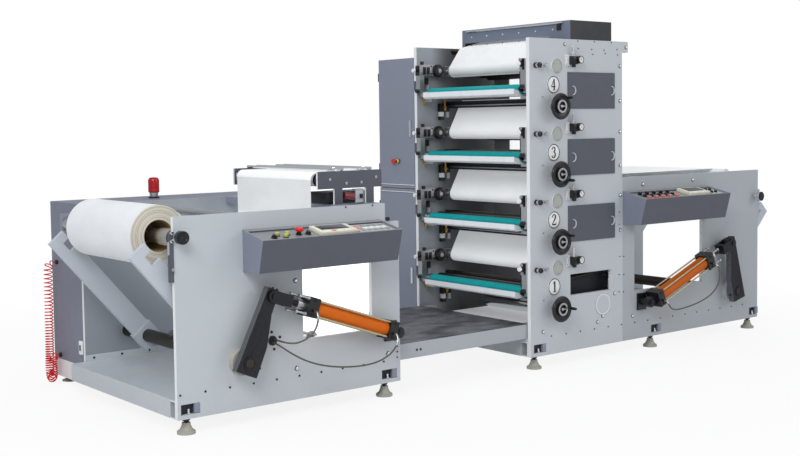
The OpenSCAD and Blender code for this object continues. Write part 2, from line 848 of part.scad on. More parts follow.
module handwheel(i) {
    translate([wheel_x, wheel_y, wheel_height(i)]) rotate([-90, 0, 0]) {
        rotate_extrude() translate([handwheel_r - rim_r, 0]) circle(rim_r);
        difference() {
            cylinder(r = handwheel_r - rim_r, h = 8);
            for (a = [0 : 120 : 240]) rotate(a) translate([hub_r + 17, 0, -eps])
                cylinder(r = 9, h = 8 + 2 * eps);
        }
        translate([0, 0, -14]) cylinder(r = hub_r, h = 40);
        translate([0, 0, -14]) cylinder(r = spindle_r, h = y_tf - wheel_y + 14 - run_gap);
        rotate(-handle_angles[i]) translate([handwheel_r - 16, 0, -66]) cylinder(r = 10, h = 66);
    }
}

module painted_wheel(i) {
    color(graphite) placed() handwheel(i);
}

// Hot-air box on top of the tower, open below for the web
box_x = [401, 810];
box_wall = 4;
box_y0 = y_tf + 12;
box_y1 = y_tb - 50;
box_slot = 34;
box_h = 130;

module hot_air_box() {
    color(slate) placed() {
        difference() {
            block(box_x[0], box_x[1], box_y0, box_y1, tower_top, tower_top + box_h);
            block(box_x[0] + box_wall, box_x[1] - box_wall, box_y0 + box_wall, box_y1 - box_wall,
                tower_top - eps, tower_top + box_h - box_wall);
            block(box_x[0] - eps, box_x[0] + box_wall + eps, web_y0 - 15, web_y1 + 15,
                tower_top - eps, tower_top + box_slot);
        }
        ycyl([box_x[0] - 10, tower_top + box_h - 12], 7, box_y0 + 60, box_y1 - 60);
        for (y = [box_y0 + 90, box_y1 - 90])
            block(box_x[0] - 10, box_x[0] + eps, y, y + 12, tower_top + box_h - 17, tower_top + box_h - 7);
    }
}

// Drive cabinet behind the tower, with two doors towards the walkway
drive_y0 = y_tb + tower_t;
drive_y1 = drive_y0 + drive_depth;
door_t = 20;
door_split = 1170;
door_inset = 12;
cabinet_x0 = door_t + 1;

hinge_r = 8;
hinge_pin_r = 3;
hinge_x = 8;
hinge_y = drive_y1 - door_inset + hinge_r;
knuckle_h = 30;
lower_hinges = [panel_bottom + 120, door_split - 160];
upper_hinges = [door_split + 120, drive_top - 160];
shelf_t = 30;

module zcyl(x, y, r, z0, z1) {
    translate([x, y, z0]) cylinder(r = r, h = z1 - z0);
}

module drive_cabinet() {
    w = drive_wall;
    color(cabinet_blue) placed() {
        difference() {
            block(cabinet_x0, drive_len, drive_y0, drive_y1, panel_bottom, drive_top);
            for (z = [[panel_bottom + w, door_split - shelf_t / 2], [door_split + shelf_t / 2, drive_top - w]])
                block(cabinet_x0 - eps, drive_len - w, drive_y0 + w, drive_y1 - w, z[0], z[1]);
        }
        for (z = concat(lower_hinges, upper_hinges)) {
            zcyl(hinge_x, hinge_y, hinge_r - run_gap, z, z + knuckle_h);
            zcyl(hinge_x, hinge_y, hinge_pin_r, z, z + 2 * knuckle_h + 2);
            block(hinge_x, cabinet_x0 + eps, hinge_y - 4, drive_y1, z, z + knuckle_h);
        }
    }
}

door_sheet = 3;
door_rim = 20;

module door(z0, z1, hinges) {
    near = drive_y0 + door_gap;
    far = drive_y1 - door_inset;
    difference() {
        block(0, door_t, near, far, z0, z1);
        block(door_sheet, door_t + eps, near + door_rim, far - door_rim, z0 + door_rim, z1 - door_rim);
    }
    block(-14, 0, near + 26, near + 46, z0 + 380, z0 + 500);
    for (z = hinges) difference() {
        union() {
            zcyl(hinge_x, hinge_y, hinge_r, z + knuckle_h + run_gap, z + 2 * knuckle_h);
            block(hinge_x - 6, hinge_x + 6, far - eps, hinge_y, z + knuckle_h + run_gap, z + 2 * knuckle_h);
        }
        zcyl(hinge_x, hinge_y, hinge_pin_r + run_gap, z, z + 3 * knuckle_h);
    }
}

door_button = [13, 22];
button_up = 200;

module door_upper() {
    color(cabinet_blue) placed() {
        door(door_split + door_gap / 2, drive_top, upper_hinges);
        for (y = [190, 226])
            xcyl(drive_y0 + y, door_split + button_up, door_button[0], -door_button[1], 0);
    }
}

module door_lower() {
    color(cabinet_blue) placed() door(panel_bottom, door_split - door_gap / 2, lower_hinges);
}

// Lift linkage. Each set is drawn with its pivot at the origin and its arms to the left;
// the rewinder's set is the mirror image
function pin_at(arm) = polar(lever_len, 180 - arm - arm_lever_angle);
function reach(arm, rear) = norm(pin_at(arm) - rear);
function tilt(arm, rear) = heading(pin_at(arm) - rear);
hub_w = 150;
hook_r = 808;
hook_w = 70;
hook_d = 60;
horn_d = 12;
u_arm_y = [panel_t + 35, y_ub - 265];
arm_clear = 18;
r_arm_y = [panel_t + 75, y_rb - y_tf + panel_t + arm_clear];

module arm_plate(arm, y) {
    rotate([0, -(180 - arm), 0]) {
        difference() {
            translate([-60, y, -arm_w / 2]) cube([arm_len + 60, arm_t, arm_w]);
            translate([hook_r - hook_w, y - eps, -arm_w / 2 - eps])
                cube([hook_w, arm_t + 2 * eps, hook_d + eps]);
            translate([hook_r - eps, y - eps, -arm_w / 2 - eps])
                cube([arm_len - hook_r + 2 * eps, arm_t + 2 * eps, horn_d + eps]);
        }
        translate([-66, y - 12, -hub_w / 2 + 5]) cube([132, arm_t + 24, hub_w - 10]);
    }
}

module arms(arm, places, y_back) {
    for (y = places) arm_plate(arm, y);
    ycyl([0, 0], lift_shaft_r, -104, y_back + panel_t / 2 - eps);
}

// Lever's foot as [below, half width]; its head as [beyond the pin, half widths]
lever_foot = [64, 70];
lever_head = [40, 48, 30];

module lever(arm) {
    a = 180 - arm - arm_lever_angle;
    translate([0, cyl_y + lever_t / 2, 0]) rotate([90, 0, 0]) linear_extrude(lever_t)
        rotate(a) difference() {
            polygon([
                [-lever_foot[0], -lever_foot[1]], [-lever_foot[0], lever_foot[1]],
                [lever_len + lever_head[0], lever_head[1]],
                [lever_len + lever_head[0], -lever_head[2]],
                [lever_len * 0.75, -lever_head[2]], [lever_len * 0.29, -lever_foot[1]]
            ]);
            circle(lift_shaft_r + run_gap / 3);
        }
}

// Cylinder along its own X axis, from the rear pivot towards the pin
rear_eye_r = 34;
rear_pin_r = 15;
eye_t = 40;
rear_cap = [48, 110];
front_cap = [643, 717];
gland_end = [30, 54];
rod_nut = [11, 14, 76];
tube_r = 46;
bore_start = 300;
tie_rod_r = 6;
port_low = 18;
port_r = 8;
port_len = 14;
tie_rod_at = cap_w / 2 - 12;

module cylinder_frame(arm, rear) {
    translate([rear[0], cyl_y, rear[1]]) rotate([0, -tilt(arm, rear), 0]) children();
}

module cap(span) {
    translate([span[0], -cap_w / 2, -cap_w / 2]) cube([span[1] - span[0], cap_w, cap_w]);
}

module barrel() {
    difference() {
        union() {
            cap(rear_cap);
            cap(front_cap);
            xcyl(0, 0, tube_r, rear_cap[0], front_cap[1]);
            for (y = [-1, 1], z = [-1, 1])
                {
                xcyl(y * tie_rod_at, z * tie_rod_at, tie_rod_r, rear_cap[0], front_cap[1] + rod_nut[2]);
                for (u = [0, rod_nut[2] - rod_nut[1]])
                    xcyl(y * tie_rod_at, z * tie_rod_at, rod_nut[0], front_cap[1] + u,
                        front_cap[1] + u + rod_nut[1]);
            }
            xcyl(0, 0, gland_end[0], front_cap[1] - eps, front_cap[1] + gland_end[1]);
            translate([0, -eye_t / 2, -rear_eye_r]) cube([rear_cap[0] + eps, eye_t, 2 * rear_eye_r]);
            ycyl([0, 0], rear_eye_r, -eye_t / 2, eye_t / 2);
            for (c = [rear_cap, front_cap])
                ycyl([(c[0] + c[1]) / 2, port_low], port_r, -cap_w / 2 - port_len, 0);
        }
        ycyl([0, 0], rear_pin_r + run_gap, -eye_t, eye_t);
        xcyl(0, 0, rod_r + run_gap, bore_start, front_cap[1] + gland_end[1] + eps);
    }
}

fork_root = 92;
fork_block = 32;
fork_in = lever_t / 2 + 5;
ear_t = 12;
ear_r = 34;

module rod(s) {
    xcyl(0, 0, rod_r, bore_start + 30 + s - shortest, s - fork_root);
    translate([s - fork_root - fork_block, -fork_in - ear_t, -ear_r])
        cube([fork_block, 2 * (fork_in + ear_t), 2 * ear_r]);
    for (y = [-fork_in - ear_t, fork_in]) {
        translate([s - fork_root - eps, y, -ear_r]) cube([fork_root + eps, ear_t, 2 * ear_r]);
        ycyl([s, 0], ear_r, y, y + ear_t);
    }
    ycyl([s, 0], 17, -fork_in - ear_t - 8, -fork_in);
}

shortest = reach(50, u_rear);

module unwind_set() {
    placed() translate([u_pivot[0], 0, u_pivot[1]]) children();
}

module rewind_set() {
    placed() translate([r_pivot[0], y_tf, r_pivot[1]]) mirror([1, 0, 0]) children();
}

module unwind_arms() {
    color(panel_grey) unwind_set() arms(unwind_arm_angle, u_arm_y, y_ub);
}

module rewind_arms() {
    color(panel_grey) rewind_set() arms(rewind_arm_angle + r_arm_lift, r_arm_y,
        y_rb - y_tf + panel_t / 2 + arm_clear + arm_t);
}

module unwind_lever() {
    color(graphite) unwind_set() lever(unwind_arm_angle);
}

module rewind_lever() {
    color(graphite) rewind_set() lever(rewind_arm_angle);
}

module unwind_barrel() {
    color([0.88, 0.43, 0.12]) unwind_set() cylinder_frame(unwind_arm_angle, u_rear) barrel();
}

module rewind_barrel() {
    color([0.88, 0.43, 0.12]) rewind_set() cylinder_frame(rewind_arm_angle, r_rear) barrel();
}

module unwind_rod() {
    color(steel) unwind_set() cylinder_frame(unwind_arm_angle, u_rear)
        rod(reach(unwind_arm_angle, u_rear));
}

module rewind_rod() {
    color(steel) rewind_set() cylinder_frame(rewind_arm_angle, r_rear)
        rod(reach(rewind_arm_angle, r_rear));
}

flange_r = 74;
flange_t = 40;

module linkage_mounts() {
    color([0.82, 0.81, 0.76]) {
        unwind_set() {
            bearing_flange();
            rear_bracket(u_rear);
        }
        rewind_set() {
            bearing_flange();
            rear_bracket(r_rear);
        }
    }
}

module bearing_flange() {
    difference() {
        ycyl([0, 0], flange_r, -flange_t, 0);
        ycyl([0, 0], lift_shaft_r + run_gap, -flange_t - eps, eps);
    }
}

bracket_w = 90;

module rear_bracket(rear) {
    block(rear[0] - bracket_w / 2, rear[0] + bracket_w / 2, -12, 0, rear[1] - 60, rear[1] + 60);
    ycyl(rear, rear_pin_r + 12, cyl_y + eye_t / 2 + run_gap, -12);
    ycyl(rear, rear_pin_r, cyl_y - eye_t / 2 - run_gap, 0);
    ycyl(rear, rear_pin_r + 8, cyl_y - eye_t / 2 - 10, cyl_y - eye_t / 2 - run_gap);
}

// Levelling feet: a bell on a flat pad, with a stud and nut up to the frame
pad_r = 50;
stud_r = 12;

module foot(h) {
    rotate_extrude() polygon([
        [0, 0], [pad_r, 0], [pad_r, h * 0.16], [pad_r * 0.72, h * 0.26], [pad_r * 0.5, h * 0.5],
        [pad_r * 0.46, h * 0.68], [stud_r, h * 0.68], [stud_r, h], [0, h]
    ]);
}

back_foot_in = 70;

module levelling_feet() {
    rail_mid = flange_w / 2;
    color([0.80, 0.78, 0.72]) placed() {
        for (x = u_feet) {
            translate([x, panel_t + rail_mid, 0]) foot(panel_bottom);
        }
        for (x = [cab_x0 + back_foot_in, u_feet[1]])
            translate([x, y_cab1 - back_foot_in, 0]) foot(plinth_z0);
        for (x = [t_foot, r_feet[0], r_feet[1]], y = [y_ti + rail_mid, y_tb - rail_mid])
            translate([x, y, 0]) foot(panel_bottom);
        for (x = [cabinet_x0 + back_foot_in, drive_len - back_foot_in])
            translate([x, drive_y1 - back_foot_in, 0]) foot(panel_bottom);
    }
}

beacon_x = cab_x0 + 613;
beacon_r = 37;

module beacon() {
    color([0.80, 0.06, 0.05]) placed() translate([beacon_x, y_cab0 + 200, unwinder_top]) {
        cylinder(r = beacon_r, h = 10);
        cylinder(r = beacon_r * 0.7, h = 40);
        translate([0, 0, 40]) cylinder(r = beacon_r, h = 84);
        translate([0, 0, 124]) cylinder(r1 = beacon_r, r2 = beacon_r * 0.75, h = 16);
    }
}

// Hoses: rings swept along their routes
tube_sides = 8;
// A direction that no hose takes, to set the rings' turn
ring_ref = [1, 1, -1];
function direction(p, i) = unit(p[min(i + 1, len(p) - 1)] - p[max(i - 1, 0)]);
function ring(p, i, r) =
    let (d = direction(p, i),
        u = unit(cross(d, ring_ref)),
        v = cross(d, u))
    [for (k = [0 : tube_sides - 1])
        p[i] + r * (u * cos(360 * k / tube_sides) + v * sin(360 * k / tube_sides))];

module hose(p, r) {
    n = len(p);
    polyhedron(
        points = [for (i = [0 : n - 1]) each ring(p, i, r)],
        faces = [
            [for (k = [0 : tube_sides - 1]) k],
            for (i = [0 : n - 2], k = [0 : tube_sides - 1])
                let (a = i * tube_sides, b = a + tube_sides, m = (k + 1) % tube_sides)
                each [[a + k, b + k, b + m], [a + k, b + m, a + m]],
            [for (k = [tube_sides - 1 : -1 : 0]) (n - 1) * tube_sides + k]
        ]
    );
}

gland_at = [x_u0 + 601, 447];
gland_r = 27;
gland_t = 6;
coil_gland = [13, 14];

module hose_glands() {
    color(graphite) placed() {
        ycyl(gland_at, gland_r, -gland_t, 0);
        for (p = [coil_route[0], coil_route[len(coil_route) - 1]])
            xcyl(p[1], p[2], coil_gland[1], cab_x0 - coil_gland[0] + run_gap, cab_x0);
    }
}

module coil_hose() {
    color([0.85, 0.10, 0.12]) placed() hose(coil_route, coil_hose_r);
}

module unwind_hose_front() {
    color(graphite) placed() hose(unwind_front_route, air_hose_r);
}

module unwind_hose_rear() {
    color(graphite) placed() hose(unwind_rear_route, air_hose_r);
}

module rewind_hose() {
    color(graphite) placed() hose(rewind_hose_route, air_hose_r);
}

unwinder_front_panel();
unwinder_back_panel();
base_channels();
cross_beams();
unwinder_cabinet();
cabinet_plinth();
consoles();
console_controls();
reel_chucks();
guide_rollers();
web_guide_frame();
web_guide_rods();
web_infeed();
web_print();
web_outfeed();
walkway_sheet();
walkway_channels();
tower_front_plate();
tower_back_plate();
tie_bars();
ink_trays();
fountain_rollers();
anilox_rollers();
plate_shafts();
impression_rollers();
turn_rollers();
station_brackets();
window_covers();
air_regulators();
station_discs();
handwheel_bearings();
hot_air_box();
drive_cabinet();
rewinder_front_panel();
rewinder_back_panel();
linkage_mounts();
hose_glands();
levelling_feet();
beacon();
paper_roll();
reel_shaft();
rewind_shaft();
unwind_arms();
unwind_lever();
unwind_barrel();
unwind_rod();
rewind_arms();
rewind_lever();
rewind_barrel();
rewind_rod();
painted_wheel(0);  // handwheel_1
painted_wheel(1);  // handwheel_2
painted_wheel(2);  // handwheel_3
painted_wheel(3);  // handwheel_4
door_upper();
door_lower();
coil_hose();
unwind_hose_front();
unwind_hose_rear();
rewind_hose();
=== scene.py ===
from math import atan, cos, hypot, pi, radians, sin

import bmesh
import bpy
from mathutils import Matrix, Vector


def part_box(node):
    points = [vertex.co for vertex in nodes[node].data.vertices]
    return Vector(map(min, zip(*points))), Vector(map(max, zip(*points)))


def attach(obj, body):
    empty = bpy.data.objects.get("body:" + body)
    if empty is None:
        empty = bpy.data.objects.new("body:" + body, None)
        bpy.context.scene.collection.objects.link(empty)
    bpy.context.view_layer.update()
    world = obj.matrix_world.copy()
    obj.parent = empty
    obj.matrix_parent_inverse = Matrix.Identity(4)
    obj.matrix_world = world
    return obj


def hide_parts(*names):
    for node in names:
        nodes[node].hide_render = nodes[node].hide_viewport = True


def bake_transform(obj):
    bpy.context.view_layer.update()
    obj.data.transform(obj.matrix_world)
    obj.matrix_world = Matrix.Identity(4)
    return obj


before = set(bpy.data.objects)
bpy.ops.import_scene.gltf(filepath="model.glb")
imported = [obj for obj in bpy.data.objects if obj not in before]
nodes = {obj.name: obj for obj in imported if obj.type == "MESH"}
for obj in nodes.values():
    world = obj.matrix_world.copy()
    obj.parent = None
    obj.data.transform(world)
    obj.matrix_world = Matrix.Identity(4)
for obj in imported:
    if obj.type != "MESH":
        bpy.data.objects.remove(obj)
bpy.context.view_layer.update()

# Machine frame of the source: millimetres, X zero at the tower's left edge, Y zero at the
# face of the unwinder's front panel, Z up from the floor
tower_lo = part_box("tower_front_plate")[0]
panel_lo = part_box("unwinder_front_panel")[0]
ZERO = Vector((tower_lo.x, panel_lo.y, 0.0))
MM = 0.001


def at(x, y, z):
    return ZERO + Vector((x, y, z)) * MM


def span(node):
    """Lowest and highest corner of a CAD node, in the machine frame's millimetres."""
    lo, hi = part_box(node)
    return (lo - ZERO) / MM, (hi - ZERO) / MM


FIRST_WHEEL_Z, STATION_PITCH = 400, 450
WHEEL_Z = [FIRST_WHEEL_Z + STATION_PITCH * i for i in range(4)]
TOWER_Y = span("tower_front_plate")[0].y
BACK_Y = span("tower_back_plate")[0].y

# Places that several pieces share: (x, z) on the front, heights above a station's handwheel
WHEEL_X, DISC_X, PLUG_X = 223, 218, 253
DISC_UP, PLUG_UP, KNOB_UP, REGULATOR_UP = 145, 269, 270, 308
UNWIND_PIVOT, REWIND_PIVOT = (-2198, 359), (2119, 340)
ROLL_AXIS = (-2575, 1064)
UNWIND_CLAMP, REWIND_CLAMP = (-2569, 1069), (2451, 1048)

# Camera, fitted to the photograph's straight edges
YAW, PITCH, ROLL = radians(38.553), radians(3.647), radians(-0.7506)
EYE = at(-5601.8, -5695.4, 1653)
FOCAL_PX, CENTRE_Y_PX, PHOTO_W, PHOTO_H = 1208.93, 200.19, 800, 456
SENSOR = 36.0


def add_object(name, data):
    made = bpy.data.objects.new(name, data)
    bpy.context.scene.collection.objects.link(made)
    return made


def add_camera():
    forward = Vector((sin(YAW) * cos(PITCH), cos(YAW) * cos(PITCH), -sin(PITCH)))
    right = Vector((cos(YAW), -sin(YAW), 0.0))
    up = right.cross(forward)
    across = cos(ROLL) * right + sin(ROLL) * up
    upward = cos(ROLL) * up - sin(ROLL) * right
    data = bpy.data.cameras.new("camera")
    data.sensor_width = SENSOR
    data.lens = SENSOR * FOCAL_PX / PHOTO_W
    data.shift_y = (CENTRE_Y_PX - PHOTO_H / 2) / PHOTO_W
    camera = add_object("camera", data)
    turn = Matrix((across, upward, -forward)).transposed().to_4x4()
    camera.matrix_world = Matrix.Translation(EYE) @ turn
    bpy.context.scene.camera = camera


# Materials
def srgb(*rgb):
    """Linear colour of one given as it is seen."""
    seen = [c / 255.0 for c in rgb]
    return (*(c / 12.92 if c <= 0.04045 else ((c + 0.055) / 1.055) ** 2.4 for c in seen), 1.0)


# Stretch of a noise; the small term is the direction that the marks run in
EVEN = (1, 1, 1)
ALONG_Y = (1, 0.03, 1)


def shaded(colour, k):
    return tuple(min(1.0, c * k) for c in colour[:3]) + (1.0,)


def plug(tree, socket, value):
    """Gives an input a value, or another node's output."""
    if isinstance(value, bpy.types.NodeSocket):
        tree.links.new(value, socket)
    else:
        socket.default_value = value


def add_node(tree, kind, inputs, operation=None):
    node = tree.nodes.new("ShaderNode" + kind)
    if operation:
        node.operation = operation
    for key, value in inputs.items():
        plug(tree, node.inputs[key], value)
    return node


def map_range(tree, value, places, values):
    """A value carried from one span to another, and held beyond its ends."""
    return add_node(tree, "MapRange", {
        "Value": value, "From Min": places[0], "From Max": places[1],
        "To Min": values[0], "To Max": values[1],
    }).outputs["Result"]


class Finish:
    """A Principled material whose colour, gloss and bump vary with noise in object space."""

    def __init__(self, name, colour, rough, metallic=0.0):
        self.mat = bpy.data.materials.new(name)
        self.mat.use_nodes = True
        self.tree = self.mat.node_tree
        self.bsdf = self.tree.nodes["Principled BSDF"]
        self.set("Base Color", colour).set("Roughness", rough).set("Metallic", metallic)
        self.mat.diffuse_color = colour
        self.colour = colour
        self.rough = rough
        self.coords = self.node("TexCoord", {}).outputs["Object"]

    def node(self, kind, inputs, operation=None):
        return add_node(self.tree, kind, inputs, operation)

    def combine(self, operation, *terms):
        return self.node("Math", dict(enumerate(terms)), operation).outputs[0]

    def vector(self, operation, *terms):
        return self.node("VectorMath", dict(enumerate(terms)), operation).outputs

    def noise(self, scale, detail=3.0, stretch=EVEN):
        where = self.node("Mapping", {"Scale": stretch, "Vector": self.coords})
        return self.node("TexNoise", {
            "Scale": scale, "Detail": detail, "Vector": where.outputs["Vector"],
        }).outputs["Fac"]

    def ramp(self, fac, stops):
        node = self.node("ValToRGB", {"Fac": fac})
        while len(node.color_ramp.elements) < len(stops):
            node.color_ramp.elements.new(0.5)
        for element, (place, colour) in zip(node.color_ramp.elements, stops):
            element.position = place
            element.color = colour
        return node.outputs["Color"]

    def mottle(self, scale, low, high, stretch=EVEN, detail=4.0):
        fac = self.noise(scale, detail, stretch)
        stops = [(0.3, shaded(self.colour, low)), (0.7, shaded(self.colour, high))]
        return self.set("Base Color", self.ramp(fac, stops))

    def gloss(self, scale, spread, stretch=EVEN):
        low, high = self.rough - spread, self.rough + spread
        stops = [(0.3, (low, low, low, 1)), (0.7, (high, high, high, 1))]
        return self.set("Roughness", self.ramp(self.noise(scale, 3.0, stretch), stops))

    def relief(self, height, strength, painted_shade):
        return self.set("Normal", self.node("Bump", {
            "Strength": strength, "Distance": painted_shade, "Height": height,
        }).outputs["Normal"])

    def bump(self, scale, strength, painted_shade=0.001, stretch=EVEN, detail=2.0):
        return self.relief(self.noise(scale, detail, stretch), strength, painted_shade)

    def slide(self, axis, places, values):
        """A value that changes along one axis, between two places in metres."""
        split = self.node("SeparateXYZ", {0: self.coords})
        return map_range(self.tree, split.outputs[axis], places, values)

    def set(self, socket, value):
        plug(self.tree, self.bsdf.inputs[socket], value)
        return self


def paint(name, rgb, rough=0.42, grain=0.12):
    f = Finish(name, srgb(*rgb), rough)
    return f.mottle(1.7, 0.965, 1.02).gloss(9, 0.06).bump(900, grain, 0.0004).mat


def metal(name, rgb, rough, stretch=EVEN, spread=0.08, low=0.88, high=1.06):
    f = Finish(name, srgb(*rgb), rough, 1.0)
    f.mottle(90, low, high, stretch).gloss(120, spread, stretch)
    return f.bump(300, 0.06, 0.0003, stretch).mat


def plastic(name, rgb, rough=0.35):
    f = Finish(name, srgb(*rgb), rough).mottle(30, 0.93, 1.05).gloss(60, 0.06)
    return f.bump(1200, 0.08, 0.0003).mat


def matt(name, rgb, rough):
    f = Finish(name, srgb(*rgb), rough).mottle(14, 0.95, 1.04).gloss(60, 0.05)
    return f.bump(700, 0.08, 0.0003).set("Specular IOR Level", 0.22).mat


PANEL = paint("panel_grey", (190, 196, 201))
# Darker copy of the panel paint: painted shade for the light falling off towards the rewinder
PANEL_FALLOFF_SHADE = paint("panel_grey_falloff_shade", (171, 177, 182))
# Pale paint: the own colour of small pale parts, and a painted highlight on faces turned to the
# left
PALE_PAINT_AND_HIGHLIGHT = paint("pale_paint_and_edge_highlight", (232, 234, 236), 0.36)
PANEL_SHADE = paint("panel_shade", (150, 155, 163), 0.45)
SLATE = paint("slate", (82, 86, 97), 0.5, 0.2)
SLATE_DARK = paint("slate_dark", (36, 38, 42), 0.45, 0.2)
BOX_BLUE = paint("box_blue_grey", (108, 118, 136), 0.4, 0.2)
CABINET = paint("cabinet_blue_grey", (134, 139, 156), 0.48, 0.2)
# Darker copy of the cabinet paint: painted shade on the unwinder cabinet
CABINET_SHADED = paint("cabinet_painted_shade", (121, 125, 141), 0.48, 0.2)
# Lighter copy of the console paint for its end faces: painted light
CONSOLE_SIDE_LIT = paint("console_side_painted_light", (127, 132, 149), 0.42, 0.2)
FOOT = paint("foot_grey", (172, 170, 160), 0.5, 0.3)
FIELD = paint("console_field", (138, 140, 143), 0.4)
CREAM_PAINT = paint("cream_paint", (176, 171, 160), 0.5, 0.3)
TRAY = paint("tray_white", (232, 236, 240), 0.3)
STEEL_Y = metal("ground_steel_y", (196, 198, 200), 0.32, ALONG_Y)
STEEL = metal("steel", (188, 190, 192), 0.36)
CHROME = metal("chrome", (225, 227, 230), 0.12, ALONG_Y, 0.04, 0.95, 1.02)
# Lighter steel for the levers' left faces: painted highlight
LEVER_SIDE_HIGHLIGHT = metal("lever_side_highlight", (128, 130, 134), 0.45)
GRAPHITE = metal("blackened_steel", (62, 62, 66), 0.5)
ANILOX = metal("engraved_roller", (92, 94, 98), 0.42, ALONG_Y)
BLACK = plastic("black_plastic", (22, 22, 24), 0.32)
BLACK_RUBBER = plastic("black_rubber", (28, 28, 28), 0.7)
TEAL = matt("teal_rubber", (16, 156, 158), 0.6)
ORANGE = matt("orange_tube", (212, 101, 4), 0.42)
# Darker copy of the orange: painted shade on the rewind cylinder
ORANGE_SHADED = matt("orange_tube_painted_shade", (196, 93, 4), 0.42)
BEIGE = metal("tie_rod_zinc", (196, 186, 150), 0.34)
CREAM = plastic("cream_plastic", (226, 221, 204), 0.45)
WHITE = plastic("white_plastic", (236, 237, 236), 0.4)
OLIVE = plastic("olive_button", (190, 190, 96), 0.3)
RED = plastic("red_plastic", (214, 24, 26), 0.28)
MAROON = plastic("maroon_plastic", (134, 52, 58), 0.4)
YELLOW = plastic("yellow_plastic", (228, 188, 40), 0.3)
SCREEN = plastic("dark_screen", (52, 60, 66), 0.1)
INK = plastic("numeral_ink", (26, 28, 40), 0.4)
PLUG = paint("plug_disc", (170, 175, 166), 0.5, 0.3)
# Near-black paint for plates that stand in for shade in pockets and openings
SHADE_FILL = paint("pocket_shade", (34, 38, 46), 0.7)
SHAFT = metal("oiled_shaft", (74, 70, 66), 0.4, ALONG_Y)
ARM = paint("arm_grey", (192, 198, 207), 0.42)
BRASS = metal("brass", (190, 150, 80), 0.3)
KEYPAD = paint("keypad", (186, 188, 186), 0.4)
PINK = plastic("pink_button", (214, 128, 122), 0.3)
LENS = plastic("beacon_lens", (216, 16, 22), 0.16)
# Darker red for bands on the lens ribs: painted shade
LENS_RIB_SHADE = plastic("beacon_lens_rib_shade", (140, 10, 18), 0.2)
HOSE = plastic("grey_hose", (88, 86, 76), 0.4)
HOSE_RED = plastic("red_hose", (226, 34, 44), 0.22)


def paper(name, rgb):
    f = Finish(name, srgb(*rgb), 0.62).mottle(7, 0.95, 1.02, (1, 0.6, 1), 6.0)
    return f.bump(11, 0.5, 0.012, (1, 0.5, 1), 4.0).set("Sheen Weight", 0.06)


def lit(f, strength):
    """Painted light: a glow that brightens the thin web where it lies in shade."""
    return f.set("Emission Color", (0.97, 0.99, 1.0, 1)).set("Emission Strength", strength).mat


WEB_RGB, WEB_SHADE = (236, 238, 238), (112, 114, 116)
PAPER = paper("white_board", (233, 236, 239)).mat
# Painted glow on the web: faint on the top run, strong on WEB_LIT; WEB_DIM has none
WEB = lit(paper("web_board", WEB_RGB), 0.2)
WEB_LIT = lit(paper("web_board_lit", WEB_RGB), 0.85)
WEB_DIM = paper("web_board_shade", WEB_SHADE).mat
WEB_TOP = lit(paper("web_board_top", WEB_RGB), 0.02)


def falling_web():
    """The run down behind the unwinder's panel gets a strong painted glow below the panel's top.
    """
    f = paper("web_board_fall", (226, 228, 228))
    return lit(f, f.slide("Z", (0.95, 1.12), (0.85, 0.08)))


def gap_web():
    """The riser behind the stations gets a painted glow only beside the front plate."""
    f = paper("web_board_gap", WEB_SHADE)
    near_end = f.slide("Y", (at(0, 720, 0).y, at(0, 735, 0).y), (0, 0.9))
    far_end = f.slide("Y", (at(0, 850, 0).y, at(0, 862, 0).y), (1, 0))
    return lit(f, f.combine("MULTIPLY", near_end, far_end))


def inner_plate():
    """Back plate inside the tower: the grey paint darkened towards the rollers as painted shade,
    broken up by noise.
    """
    f = Finish("inner_plate", srgb(150, 155, 163), 0.5).gloss(9, 0.06).bump(900, 0.12, 0.0004)
    # Painted shade: darker from 150 mm to 400 mm along X
    painted_shade = f.slide("X", (at(150, 0, 0).x, at(400, 0, 0).x), (0.12, 0.8))
    shade_and_mottle = f.combine("MULTIPLY_ADD", f.noise(5, 6.0), 0.24, painted_shade)
    stops = [(0.2, srgb(158, 163, 170)), (0.55, srgb(104, 107, 110)), (0.95, srgb(68, 70, 72))]
    return f.set("Base Color", f.ramp(shade_and_mottle, stops)).mat


WEB_FALL = falling_web()
WEB_GAP = gap_web()
INNER_PLATE = inner_plate()


def roll_end_material():
    """Fine rings of board about the reel's axis, seen on the roll's cut ends."""
    f = Finish("roll_end", srgb(214, 208, 194), 0.75)
    lo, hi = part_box("paper_roll")
    from_centre = f.vector("SUBTRACT", f.coords, (lo + hi) / 2)[0]
    radius = f.vector("LENGTH", f.vector("MULTIPLY", from_centre, (1, 0, 1))[0])["Value"]
    rings = f.node("TexNoise", {"Scale": 260, "Detail": 4})
    rings.noise_dimensions = "1D"
    plug(f.tree, rings.inputs["W"], radius)
    stops = [(0.34, srgb(150, 140, 118)), (0.46, srgb(206, 199, 182)), (0.62, srgb(228, 224, 212))]
    f.set("Base Color", f.ramp(rings.outputs["Fac"], stops))
    return f.relief(rings.outputs["Fac"], 0.4, 0.001).mat


ROLL_END = roll_end_material()
CORE = paper("core_card", (178, 148, 104)).mat


def walkway_material():
    f = Finish("scuffed_sheet", srgb(112, 113, 118), 0.5)
    fac = f.noise(4.5, 8.0, (1, 1.6, 1))
    stops = [(0.32, srgb(52, 54, 59)), (0.48, srgb(86, 88, 93)), (0.6, srgb(106, 108, 112)),
             (0.75, srgb(92, 93, 98))]
    return f.set("Base Color", f.ramp(fac, stops)).gloss(14, 0.12).bump(60, 0.15, 0.0006).mat


WALKWAY = walkway_material()


def heading(points, i):
    """Direction of a line at one of its points, from the points beside it."""
    return (points[min(i + 1, len(points) - 1)] - points[max(i - 1, 0)]).normalized()


# Mesh building: smooth shading stops at this angle; directions for turned shapes
SHARP = radians(35)
OUT = (0, -1, 0)
BACK = (0, 1, 0)
UP = (0, 0, 1)
LEFT = (-1, 0, 0)


